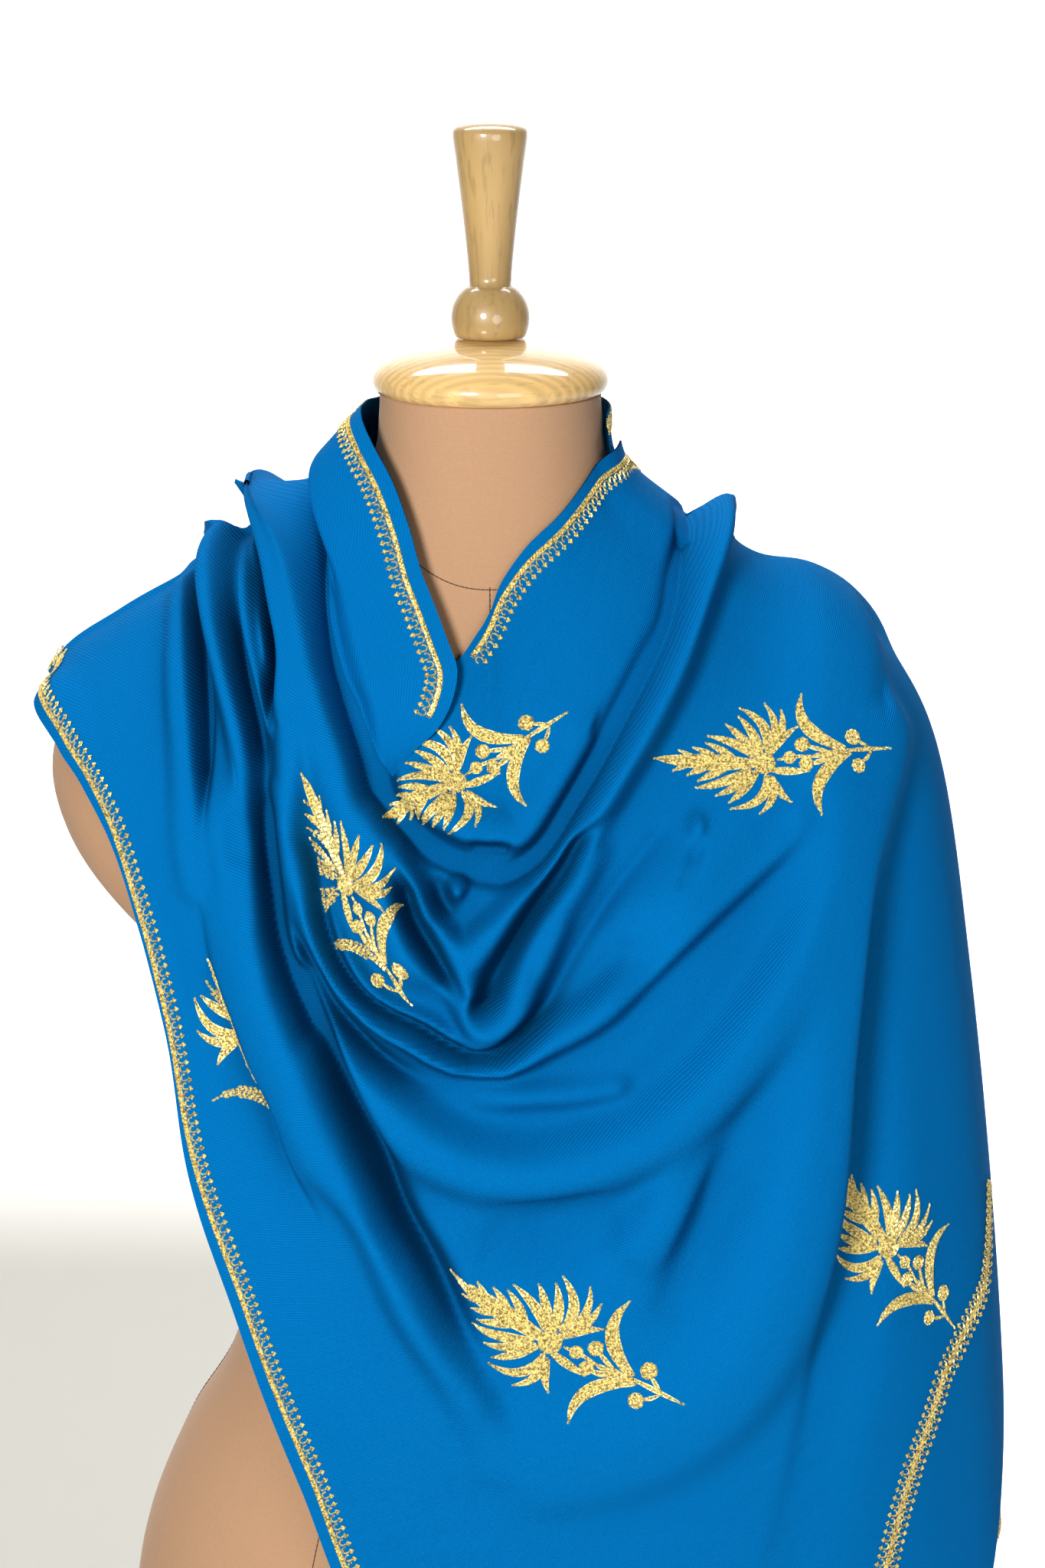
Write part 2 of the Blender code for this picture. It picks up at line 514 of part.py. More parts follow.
def quarter(radius, height, rise, count, start=0.0):
    """Points of a quarter ellipse that bulges outwards, from its top to its widest place."""
    turns = [start + (math.pi / 2 - start) * i / count for i in range(count + 1)]
    return [(radius * math.sin(turn), height + rise * math.cos(turn)) for turn in turns]


def cap_profile():
    dome = quarter(CAP_RADIUS, CAP_RIM_HEIGHT, CAP_HEIGHT - CAP_RIM_HEIGHT, 8)
    rim = [(CAP_RADIUS - 4.0 * (1 - math.cos(turn)), CAP_RIM_HEIGHT * (1 - math.sin(turn)))
           for turn in (math.pi / 6, math.pi / 3, math.pi / 2)]
    return dome + rim + [(0.0, 0.0)]


def finial_profile():
    """A shallow dome, a flared handle that narrows downwards, and a ball cut flat below."""
    ball_height = 9.0
    dome = quarter(HANDLE_TOP_RADIUS, FINIAL_HEIGHT - 6.0, 6.0, 4)
    top, neck = FINIAL_HEIGHT - 9.0, ball_height + 16.0
    flare = [(HANDLE_NECK_RADIUS + (HANDLE_TOP_RADIUS - HANDLE_NECK_RADIUS) * share**1.25,
              neck + (top - neck) * share) for share in (1.0, 0.75, 0.5, 0.25, 0.0)]
    ball = []
    for degrees in (50, 32, 14, -4, -27.5):
        turn = math.radians(degrees)
        ball.append((BALL_RADIUS * math.cos(turn), ball_height + BALL_RADIUS * math.sin(turn)))
    ball[-1] = (ball[-1][0], 0.0)
    return dome + flare + ball + [(0.0, 0.0)]


def base_profile():
    edge = 9.0
    rounding = quarter(edge, 0.0, edge, 4)
    crown = [(0.0, BASE_HEIGHT), (POLE_RADIUS * 2.2, BASE_HEIGHT)]
    return crown + [(BASE_RADIUS - edge + r, BASE_HEIGHT - 6.0 - edge + z) for r, z in rounding] \
        + [(BASE_RADIUS, 1.5), (BASE_RADIUS - 1.5, 0.0), (0.0, 0.0)]


def build_form(parts):
    jersey = make_material("cotton jersey", (0.60, 0.40, 0.25), 0.85)
    beech = make_material("varnished pale wood", (0.72, 0.47, 0.20), 0.3)
    steel = make_material("painted steel", (0.05, 0.05, 0.05), 0.45, 0.0)
    torso = ring_solid("form_torso", FORM_RINGS, FORM_FULLNESS, 40, 30, jersey, parts)
    cap_foot = FORM_RINGS[0][2] + SEAT_GAP
    turned_object("neck_cap", cap_profile(), 28, cap_foot, beech, parts)
    turned_object("neck_finial", finial_profile(), 20, cap_foot + CAP_HEIGHT + SEAT_GAP, beech, parts)
    turned_object("stand_base", base_profile(), 40, 0.0, steel, parts)
    low = BASE_HEIGHT + SEAT_GAP
    high = TORSO_FOOT - SEAT_GAP
    bpy.ops.mesh.primitive_cylinder_add(vertices=20, radius=POLE_RADIUS * MM, depth=(high - low) * MM,
                                        location=(0.0, 0.0, (high + low) / 2 * MM))
    pole = bpy.context.active_object
    pole.name = "stand_pole"
    pole.data.materials.append(steel)
    pole.data.shade_smooth()
    for collection in list(pole.users_collection):
        collection.objects.unlink(pole)
    parts.objects.link(pole)
    return torso


# -------------------------------------------------------------------------------- the shawl
def lay_sheet(name, net, folds, back, lift, seats, seams, wool, parts):
    """One stretch of the shawl: its net on the ring surface, lifted by its folds.

    seats are search trees that it lies on, and seams the ends (0 or -1) that meet a neighbour.
    """
    angle, place = net
    points = cloth_surface(angle, place)
    outward = cloth_normal(angle, place)
    height = fold_height(points, outward, folds, back) + lift
    down = np.array([0.0, 0.0, -1.0]) - outward * -outward[..., 2:]
    hung = points + outward * height[..., None] + down * (SAG * np.maximum(height, 0.0))[..., None]
    raised = settle(hung, outward, seats)
    for end in seams:
        inside = 1 if end == 0 else -2
        run = raised[inside] - raised[end]
        run /= np.linalg.norm(run, axis=-1, keepdims=True)
        raised[end] += run * (SEAM_GAP / 2 * MM)
    wall_object(name, raised, raised - outward * wall_depth(raised, outward), wool, parts)
    return net_tree(raised, outward)


def build_shawl(torso, parts):
    wool = make_material("pashmina wool", (0.0, 0.16, 0.47), 0.8)
    bpy.context.view_layer.update()
    form = (BVHTree.FromObject(torso, bpy.context.evaluated_depsgraph_get()), FORM_CLEARANCE * MM)
    step = LAYER_STEP * MM
    left, right = math.pi, 2 * math.pi

    # nape stretch: from the left shoulder round the back, its end under the front's right side
    hidden = right + UNDERLAP[0]
    nape_top = [np.array([turn, NAPE_RING]) for turn in np.linspace(left, hidden, NAPE_SPOTS)]
    first_end = [np.array([turn, FIRST_END_RING]) for turn in (right, hidden)]
    back_foot = back_path(BACK_FOOT) + first_end
    back_tree = lay_sheet("shawl_back", sheet_net(nape_top, back_foot, *BACK_NET), BACK_FOLDS, True,
                          0.0, [form], [0], wool, parts)
    back = (back_tree, LAYER_GAP * MM)

    # front: fans out from the left shoulder, swags across the chest, rises to the right shoulder
    front_net = sheet_net(front_path(FRONT_TOP), front_path(FRONT_FOOT), *FRONT_NET, DRAW_IN_FROM)
    over_first_end = step * (1 - ease(front_net[0], *UNDERLAP))
    front_tree = lay_sheet("shawl_front", front_net, FRONT_FOLDS, False, over_first_end,
                           [form, back], [0, -1], wool, parts)
    front = (front_tree, LAYER_GAP * MM)

    # second end: from the right shoulder down the back, on top of the nape stretch
    end_foot = [np.array([math.radians(degrees), place]) for degrees, place in END_FOOT]
    lay_sheet("shawl_end", sheet_net(back_path(END_TOP), end_foot, *END_NET), END_FOLDS, True,
              step, [form, back], [0], wool, parts)

    # neck panel: the left-hand edge of the opening, rolled over the front
    lapel_net = sheet_net(front_path(LAPEL_ARM_SIDE), front_path(LAPEL_NECK_SIDE), *LAPEL_NET)
    along = np.linspace(0.0, 1.0, LAPEL_NET[0])[:, None]
    across = np.linspace(0.0, 1.0, LAPEL_NET[1])[None, :]
    stand = LAPEL_LIFT[0] + (LAPEL_LIFT[1] - LAPEL_LIFT[0]) * ease(across, 0.0, LAPEL_ROLL)
    lay_sheet("shawl_lapel", lapel_net, (), False, stand * MM * ease(along, *LAPEL_RISE),
              [form, front], [0], wool, parts)


def main():
    for thing in list(bpy.data.objects):
        bpy.data.objects.remove(thing, do_unlink=True)
    parts = bpy.data.collections.new("pashmina_shawl")
    bpy.context.scene.collection.children.link(parts)
    torso = build_form(parts)
    build_shawl(torso, parts)


main()
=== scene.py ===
"""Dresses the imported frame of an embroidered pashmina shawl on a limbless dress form.

The form faces -Y, its centre line is the Z axis and the floor is z = 0.
Left and right are as seen from the front: left is -X.
"""
import math

import bmesh
import bpy
import numpy as np
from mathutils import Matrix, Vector
from mathutils.bvhtree import BVHTree


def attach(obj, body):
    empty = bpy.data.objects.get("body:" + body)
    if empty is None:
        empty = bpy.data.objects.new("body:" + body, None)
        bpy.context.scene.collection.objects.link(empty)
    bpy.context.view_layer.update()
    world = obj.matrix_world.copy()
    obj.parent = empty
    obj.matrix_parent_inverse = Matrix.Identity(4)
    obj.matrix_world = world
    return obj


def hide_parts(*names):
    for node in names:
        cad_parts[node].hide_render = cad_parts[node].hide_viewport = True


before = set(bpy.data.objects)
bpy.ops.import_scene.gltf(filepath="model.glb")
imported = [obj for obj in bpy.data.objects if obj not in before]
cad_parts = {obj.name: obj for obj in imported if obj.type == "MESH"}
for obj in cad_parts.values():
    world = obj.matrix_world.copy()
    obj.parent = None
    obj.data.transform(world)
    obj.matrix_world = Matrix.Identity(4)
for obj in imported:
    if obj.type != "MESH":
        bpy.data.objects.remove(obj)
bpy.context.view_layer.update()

bl_info = {
    "name": "Embroidered Shawl on a Dress Form",
    "version": (1, 0, 0),
    "blender": (4, 5, 0),
    "location": "View3D > Sidebar > Shawl",
    "description": "Drapes, embroiders and lights a pashmina shawl on its dress form",
    "category": "Object",
}

MM = 0.001
RIDGE = 1500              # in place of a height, a point on the shoulder's top line
SHEETS = {}               # the stretches of cloth, by name, once they are draped

# ------------------------------------------------------------------------------- ring tables
# Each ring in millimetres: half width on the right and on the left, height at the sides,
# depth and height at the front, depth and height at the back.
FORM_RINGS = (
    # right, left, side_z, front, front_z, back, back_z
    (54.6, 54.6, 1458.0, 54.6, 1458.0, 54.6, 1458.0),
    (55.0, 55.0, 1448.0, 55.0, 1440.0, 55.5, 1448.0),
    (57.0, 57.0, 1430.0, 60.0, 1405.0, 60.0, 1430.0),
    (66.0, 66.0, 1412.0, 70.0, 1366.0, 70.0, 1405.0),
    (96.0, 96.0, 1388.0, 86.0, 1326.0, 84.0, 1372.0),
    (138.0, 138.0, 1361.0, 101.0, 1280.0, 94.0, 1322.0),
    (176.0, 178.0, 1338.0, 112.0, 1240.0, 100.0, 1275.0),
    (204.0, 206.0, 1312.0, 119.0, 1208.0, 103.0, 1228.0),
    (219.0, 220.0, 1276.0, 123.0, 1182.0, 104.0, 1196.0),
    (214.0, 214.0, 1244.0, 125.0, 1164.0, 104.0, 1172.0),
    (197.0, 197.0, 1222.0, 126.0, 1150.0, 103.0, 1154.0),
    (170.0, 170.0, 1204.0, 126.0, 1136.0, 102.0, 1138.0),
    (157.0, 157.0, 1168.0, 122.0, 1112.0, 99.0, 1114.0),
    (142.0, 142.0, 1100.0, 106.0, 1070.0, 91.0, 1070.0),
    (122.0, 122.0, 1015.0, 96.0, 1010.0, 85.0, 1010.0),
    (135.0, 135.0, 958.0, 102.0, 956.0, 96.0, 956.0),
    (159.0, 159.0, 917.0, 111.0, 915.0, 111.0, 915.0),
    (179.0, 179.0, 868.0, 117.0, 868.0, 122.0, 868.0),
    (187.0, 187.0, 820.0, 117.0, 820.0, 124.0, 820.0),
    (183.0, 183.0, 775.0, 113.0, 775.0, 119.0, 775.0),
    (176.0, 176.0, 757.0, 107.0, 757.0, 113.0, 757.0),
    (166.0, 166.0, 752.0, 99.0, 752.0, 104.0, 752.0),
)
CLOTH_RINGS = (
    # right, left, side_z, front, front_z, back, back_z
    (58.5, 58.5, 1452.0, 60.0, 1412.0, 60.0, 1452.0),
    (64.0, 84.0, 1422.0, 72.0, 1374.0, 71.0, 1420.0),
    (92.0, 99.0, 1397.0, 89.0, 1332.0, 87.0, 1384.0),
    (132.0, 143.0, 1370.0, 106.0, 1285.0, 98.0, 1338.0),
    (170.0, 184.0, 1347.0, 120.0, 1240.0, 106.0, 1290.0),
    (200.0, 218.0, 1320.0, 135.0, 1192.0, 112.0, 1240.0),
    (222.0, 226.0, 1270.0, 145.0, 1135.0, 115.0, 1180.0),
    (238.0, 226.0, 1170.0, 150.0, 1065.0, 116.0, 1095.0),
    (252.0, 236.0, 1050.0, 150.0, 980.0, 116.0, 990.0),
    (262.0, 240.0, 925.0, 148.0, 880.0, 126.0, 890.0),
    (272.0, 240.0, 725.0, 146.0, 715.0, 134.0, 735.0),
)
FORM_FULLNESS = 2.25      # 2 is an ellipse in plan, more is squarer
CLOTH_FULLNESS = 2.3
DIP_POWER = 2.0           # how a ring falls from its side height to its front or back height

# ----------------------------------------------------------------------- edges of the stretches
# Paths are (x, z) in front or back view, on the cloth's ring surface.
FRONT_TOP = ((-80, RIDGE), (-78, 1390), (-72, 1372), (-62, 1356), (-42, 1338), (-22, 1336),
             (-5, 1355), (7, 1378), (18, 1393), (37, 1410), (49, 1424), (60, RIDGE))
FRONT_FOOT = ((-220, RIDGE), (-207, 1288), (-186, 1256), (-169, 1210), (-158, 1165), (-148, 1100),
              (-124, 1023), (-94, 939), (-72, 880), (-20, 806), (60, 762), (140, 742), (213, 741))
DRAW_IN_FROM = 8.5        # the front ends at the right side, and from this ring it draws in
DRAW_IN_POWER = 1.6
END_TOP = ((60, RIDGE), (56, 1410), (50, 1360), (42, 1300))
END_FOOT = ((360.0, 8.55), (358.0, 8.57), (355.0, 8.6))       # (degrees, ring)
LAPEL_NECK_SIDE = ((-58.5, RIDGE), (-52, 1437), (-45, 1424), (-38, 1405), (-30, 1376), (-19, 1349),
                   (-15, 1338), (-17, 1326), (-24, 1312), (-38, 1297), (-47, 1288))
LAPEL_ARM_SIDE = ((-81, RIDGE), (-83, 1390), (-80, 1378), (-78, 1360), (-74, 1345), (-69, 1332),
                  (-64, 1320), (-60, 1311), (-56, 1303), (-53, 1296), (-50, 1291))
BACK_FOOT = ((-220, RIDGE), (-200, 1270), (-180, 1215), (-155, 1140), (-122, 1060), (-80, 980),
             (-20, 910), (60, 868), (140, 856), (215, 868))
NAPE_RING = 0.02
FIRST_END = 0.25          # how far round, in radians, the first end lies under the front
FIRST_END_RING = 9.3
END_BAND = ((248, 1060), (247, 1032), (246, 1010), (236, 991), (227, 976), (221, 953), (212, 934),
            (205, 911), (198, 886), (189, 845), (180, 800), (172, 752))
NAPE_SPOTS = 5

# ------------------------------------------------------------------------------------- folds
# Each fold in millimetres: the height over the ring surface at its start, middle and end (a
# hollow is negative, and 0 leaves the cloth as it was), how far it reaches on its left and on its
# right hand, and its path. Later ones cut earlier ones.
FRONT_FOLDS = (
    # start, middle, end, left, right, path of (x, z)
    # the lowest swag, between the hanging left panel and the right side
    (10, 15, 7, 22, 30, ((160, RIDGE), (168, 1300), (172, 1242), (168, 1209), (163, 1171), (157, 1107),
     (146, 1041), (128, 1003), (102, 975), (64, 956), (27, 948))),
    (10, 14, 15, 6, 30, ((-116, 1262), (-107, 1228), (-96, 1190), (-83, 1153), (-71, 1124))),
    (15, 16, 6, 7, 16, ((-79, 1138), (-65, 1108), (-50, 1077), (-34, 1042), (-10, 998), (8, 962))),
    (0, -5, 0, 3, 14, ((-146, 1250), (-140, 1227), (-135, 1199), (-126, 1170), (-119, 1152), (-109, 1133),
     (-99, 1108), (-85, 1078), (-62, 1030))),
    (0, -9, 0, 26, 34, ((-18, 1092), (15, 1078), (47, 1082), (75, 1098))),
    (0, 10, 0, 12, 15, ((112, 1142), (93, 1099), (76, 1064), (56, 1034))),
    (0, -5, 0, 13, 10, ((124, 1122), (108, 1080), (92, 1040), (72, 1002))),
    (-2, -5, -2, 26, 7, ((186, 1260), (184, 1214), (180, 1150), (176, 1071), (168, 1018), (155, 950),
     (146, 897))),
    # the third swag: its left limb, and its belly up to the right shoulder
    (8, 13, 17, 8, 8, ((-101, 1280), (-101, 1261), (-100, 1240), (-97, 1223), (-92, 1208), (-86, 1195),
     (-79, 1181), (-69, 1167), (-58, 1152))),
    (15, 17, 12, 12, 20, ((-62, 1157), (-42, 1133), (-20, 1117), (14, 1109), (46, 1113), (75, 1126),
     (98, 1142), (115, 1159), (135, 1185), (157, 1220), (172, 1250), (184, 1300))),
    # the second swag, from the largest pleat to the right shoulder
    (15, 19, 10, 8, 9, ((-104, RIDGE), (-100, 1371), (-98, 1349), (-95, 1328), (-93, 1309), (-93, 1290),
     (-93, 1265), (-91, 1248), (-87, 1234), (-82, 1221), (-75, 1206), (-65, 1193), (-53, 1182), (-36, 1172),
     (-18, 1163), (-5, 1160), (6, 1161), (24, 1168), (50, 1183), (74, 1203), (99, 1226), (126, 1248),
     (149, 1268))),
    (0, 13, 6, 24, 10, ((52, 1190), (80, 1216), (108, 1241), (134, 1266))),
    (9, 5, 9, 3, 5, ((100, 1265), (98, 1254), (93, 1242))),
    # the first swag, whose left limb carries a sprig
    (24, 21, 18, 7, 24, ((-92, RIDGE), (-84, 1379), (-83, 1359), (-80, 1336), (-75, 1316), (-69, 1299),
     (-60, 1278), (-48, 1254), (-36, 1230), (-31, 1218))),
    (18, 17, 10, 9, 9, ((-48, 1254), (-35, 1229), (-22, 1208), (-10, 1188), (-2, 1176), (5, 1177),
     (10, 1182), (16, 1192), (22, 1207), (28, 1221))),
    (10, 10, 0, 6, 9, ((22, 1207), (28, 1221), (39, 1239), (51, 1257), (64, 1270))),
    # inside it, the limb under the neckline, which alone rolls over the right shoulder
    (12, 19, 17, 8, 12, ((-26, 1217), (-20, 1211), (-12, 1209), (4, 1219), (17, 1234), (31, 1252),
     (44, 1271), (58, 1293), (70, 1312), (82, 1334), (91, 1355), (97, 1374), (100, RIDGE))),
    (2, 9, 4, 14, 6, ((-60, 1310), (-48, 1290), (-35, 1276), (-20, 1267), (0, 1260), (15, 1261), (28, 1275),
     (46, 1304))),
    (0, 8, 0, 4, 5, ((-5, 1241), (-13, 1240), (-16, 1233), (-11, 1226))),
    # pleats on the left shoulder, from the arm to the neck
    (4, 12, 6, 8, 11, ((-138, RIDGE), (-145, 1368), (-147, 1348), (-146, 1320), (-143, 1280),
     (-138, 1240))),
    (14, 15, 8, 8, 8, ((-127, RIDGE), (-132, 1374), (-131, 1355), (-126, 1334), (-120, 1311), (-116, 1288),
     (-118, 1255))),
    (3, 12, 10, 5, 6, ((-114, RIDGE), (-115, 1369), (-113, 1348), (-109, 1325), (-104, 1309))),
    # the creases
    (-6, -12, 0, 2.4, 2.8, ((-133, RIDGE), (-141, 1371), (-142, 1361), (-140, 1343), (-137, 1318),
     (-136, 1285), (-136, 1250))),
    (0, -13, 0, 3.0, 3.0, ((-123, 1374), (-122, 1352), (-117, 1330), (-111, 1309), (-108, 1290),
     (-106, 1270))),
    (-4, -13, 0, 2.6, 2.6, ((-109, RIDGE), (-107, 1378), (-105, 1360), (-102, 1339), (-104, 1317),
     (-106, 1295))),
    (-4, -14, -12, 4, 4, ((-86, RIDGE), (-83, 1392), (-80, 1372), (-77, 1352), (-74, 1336), (-68, 1322),
     (-61, 1311), (-56, 1298), (-54, 1287))),
    (-12, -16, -10, 5, 5.5, ((-62, 1314), (-57, 1300), (-54, 1285), (-46, 1273), (-37, 1263), (-24, 1254),
     (-12, 1248), (0, 1245), (10, 1245), (18, 1247), (27, 1257), (39, 1274), (51, 1292), (64, 1315),
     (75, 1334), (85, 1352), (92, 1377), (93, RIDGE))),
    (-8, -20, -10, 6, 5, ((-67, 1322), (-61, 1309), (-57, 1297), (-53, 1283))),
    (0, -12, 0, 3, 3, ((-15, 1257), (-2, 1255), (8, 1254), (15, 1250))),
    (0, -8, 0, 4, 5, ((-47, 1256), (-41, 1239), (-35, 1224), (-28, 1210), (-20, 1197), (-13, 1187),
     (-5, 1180))),
    (0, -6, 0, 4, 4, ((-24, 1249), (-24, 1238), (-19, 1228), (-10, 1221))),
    (0, -10, -9, 4, 4.5, ((64, 1275), (47, 1263), (33, 1244), (22, 1228), (12, 1214), (4, 1199),
     (-5, 1185))),
    (0, -6, -2, 4, 4, ((-88, 1300), (-88, 1282), (-87, 1262), (-83, 1249), (-81, 1235), (-78, 1222),
     (-73, 1209), (-67, 1198), (-58, 1188), (-46, 1180), (-34, 1174), (-20, 1166), (-8, 1161), (2, 1162),
     (15, 1169), (26, 1182), (36, 1198), (47, 1217), (62, 1238), (80, 1262))),
    (0, -12, 0, 4, 5, ((-95, 1245), (-94, 1222), (-89, 1210), (-83, 1198), (-76, 1185), (-69, 1175),
     (-59, 1165), (-47, 1156), (-37, 1150), (-24, 1145), (-4, 1142))),
    (0, 5, 4, 5, 7, ((-27, 1145), (-7, 1142), (23, 1142), (42, 1143), (60, 1145))),
    (-3, -18, -18, 4.5, 4.5, ((-109, 1300), (-109, 1286), (-108, 1271), (-106, 1251), (-104, 1234),
     (-101, 1215), (-95, 1195), (-84, 1170))),
    (-16, -22, -3, 6, 7, ((-91, 1195), (-81, 1170), (-67, 1138), (-54, 1110), (-42, 1081), (-28, 1053),
     (-13, 1023), (6, 985))),
    # the cloth's corner stands off at the left shoulder
    (7, 3, 0, 16, 16, ((-216, 1308), (-208, 1290), (-198, 1270))),
)
# At the shoulders these carry on the front's folds.
BACK_FOLDS = (
    (0, 12, 0, 24, 34, ((-150, 1200), (-100, 1090), (-30, 1010), (60, 985), (150, 1020))),
    (15, 16, 0, 9, 8, ((-104, RIDGE), (-98, 1350), (-84, 1290), (-52, 1222), (10, 1192), (70, 1215))),
    (24, 17, 0, 24, 7, ((-92, RIDGE), (-82, 1355), (-60, 1308), (-18, 1270), (40, 1264), (90, 1300))),
    (4, 12, 0, 11, 8, ((-138, RIDGE), (-143, 1345), (-141, 1290), (-124, 1215))),
    (14, 15, 0, 8, 8, ((-127, RIDGE), (-129, 1340), (-121, 1270), (-95, 1180), (-40, 1110))),
    (3, 12, 0, 6, 5, ((-114, RIDGE), (-111, 1350), (-99, 1285), (-68, 1205), (0, 1150), (60, 1150))),
    (-6, -8, 0, 2.8, 2.4, ((-133, RIDGE), (-135, 1335), (-130, 1270), (-112, 1200))),
    (0, -8, 0, 4, 4, ((-121, 1390), (-119, 1340), (-108, 1275), (-80, 1196), (-40, 1146))),
    (-4, -9, 0, 2.6, 2.6, ((-109, RIDGE), (-103, 1345), (-88, 1285), (-52, 1214), (0, 1172))),
    (-4, -9, 0, 4, 4, ((-86, RIDGE), (-72, 1350), (-44, 1300), (0, 1285))),
)
END_FOLDS = (
    (10, 12, 5, 22, 30, ((160, RIDGE), (166, 1300), (178, 1220), (192, 1130), (206, 1040))),
    (17, 14, 0, 12, 9, ((100, RIDGE), (99, 1350), (98, 1280), (105, 1200))),
    (-10, -8, 0, 5, 5, ((93, RIDGE), (90, 1350), (87, 1290), (90, 1230))),
)
FOLD_DEPTH = 1.2          # real folds are this much deeper than the heights set down here
SAG = 0.25                # how far a fold's crest hangs down for each unit of its height
PATH_STEPS = 49           # points on a fold's path
RIDGE_POWER = 3.0         # 2 is a domed crest, more is a flatter one with steeper sides
WIDE_CREASE = 6.5         # mm of reach from which a crease has a floor as a ridge has a top
CREASE_POWER = 1.8        # 2 is a soft trough, less is a sharper crease
LAYER_STEP = 4.4          # mm from one layer of cloth to the layer on it
UNDERLAP = (0.25, 0.55)   # angles between which the front rises over the first end
LAPEL_LIFT = (-8.0, 9.0)  # mm that the neck panel stands off in its arm side's crease and beyond it
LAPEL_ROLL = 0.38         # share of the neck panel's width in which it rises out of that crease
LAPEL_RISE = (-0.1, 0.15)  # shares of its length over which its stand grows, from the nape
LAPEL_TIP = (0.7, 1.0)    # and over which it falls to the front's
LAPEL_MERGE = (0.86, 0.97)    # shares over which it runs into the front's own cloth
TIP_GAP = 0.1             # mm that its tip stands over the front's face
FORM_CLEARANCE = 0.8      # mm between the cloth and the form
LAYER_GAP = 0.6           # mm between layers of cloth
JOIN_REACH = 30           # mm over which a stretch bends to meet the next one's edge
RAY_START = 80.0          # mm above the ring surface from which a layer below is sought
CHART_NET = (361, 401)    # (columns, rows) of the net in which a place on the surface is looked up

# (columns, rows) of each stretch's net
ROW_CROWDING = 1.5        # 1 is even rows, more draws them towards the top edge
FRONT_NET = (316, 272)
BACK_NET = (170, 140)
END_NET = (70, 100)
LAPEL_NET = (110, 44)
HEM_CELLS = 5             # how many cells of a net its turned-in inner side covers at the edges

# ----------------------------------------------------------------------------- the embroidery
# A sprig's strokes in millimetres, on a sheet with its head's hub at (0, 0) and its tip ahead.
# Each is a bent leaf: start, bend and tip as (ahead, aside), and its half width.
SPIRE = (
    # start, bend, tip, half width
    ((0, 0), (30, 1), (58, 0), 5.0),
    ((12, -2), (19, -7), (28, -10), 2.1),
    ((22, -2), (28, -5), (35, -7), 1.8),
    ((34, -1), (38, -3), (43, -5), 1.3),
    ((15, 2), (24, 7), (32, 11), 2.3),
    ((26, 2), (32, 5), (38, 8), 1.9),
    ((36, 1), (41, 4), (46, 6), 1.4),
)
LOBES = (
    ((2, -4), (9, -12), (27, -14), 2.8),
    ((0, -5), (8, -15), (17, -21), 2.6),
    ((-2, -5), (0, -17), (10, -26), 2.9),
    ((-5, -8), (-9, -24), (9, -31), 3.0),
    ((-9, -10), (-13, -24), (-5, -34), 2.1),
    ((-10, -9), (-16, -20), (-14, -30), 2.2),
    ((-5, -3), (-13, -15), (-22, -20), 2.5),
    ((4, 4), (18, 13), (33, 15), 2.8),
    ((2, 5), (12, 16), (22, 19), 2.5),
    ((0, 5), (7, 17), (15, 23), 2.6),
    ((-5, 7), (-7, 25), (14, 27), 2.7),
    ((-7, 9), (-12, 20), (-2, 29), 2.4),
    ((-8, 8), (-11, 17), (-18, 22), 2.3),
    ((-8, 4), (-18, 5), (-28, 5), 2.3),
)
STALKS = (
    ((-12, -2), (-22, -4), (-32, -3), 0.8),
    ((-31, -3), (-42, -5), (-52, -7), 1.7),
    ((-50, -7), (-64, -9), (-77, -11), 1.1),
    ((-28, -9), (-33, -7), (-42, -5), 1.1),
    ((-30, 1), (-36, 0), (-42, -4), 1.5),
    ((-48, -8), (-19, -17), (-25, -39), 4.0),
    ((-51, -6), (-26, 10), (-35, 29), 3.9),
    ((-57, -13), (-61, -11), (-64, -10), 0.9),
    ((-60, -2), (-63, -4), (-65, -8), 0.9),
)
SPRIG_DISCS = (
    # centre as (ahead, aside), and radius
    ((-4, 0), 6.2),
    ((-18, -3), 3.5),
    ((-25, -10), 4.0),
    ((-27, 1), 3.8),
    ((-54, -15), 4.4),
    ((-57, 1), 4.0),
)
# The shawl is one stole of 0.70 x 2.00 m.
SPRIGS = (
    # stretch, hub (x, z), a point towards its tip (x, z), size
    ("front", (-19, 1285), (-49, 1270), 0.85),
    ("front", (129, 1292), (85, 1297), 0.88),
    ("front", (-69, 1243), (-79, 1290), 0.92),
    ("front", (27, 1020), (-17, 1052), 0.97),
    ("front", (196, 1051), (175, 1085), 0.92),
    ("front", (-120, 1171), (-115, 1210), 1.0),
    ("front", (100, 860), (66, 892), 0.92),
    ("back", (-118, 1245), (-128, 1290), 0.92),
    ("back", (-12, 1330), (-50, 1350), 0.92),
    ("back", (-45, 1115), (-85, 1135), 0.92),
    ("back", (30, 1215), (-12, 1236), 0.92),
    ("back", (70, 1010), (35, 1040), 0.92),
    ("back", (180, 960), (150, 990), 0.92),
    ("end", (128, 1215), (100, 1250), 0.92),
    ("end", (216, 1130), (196, 1170), 0.92),
)
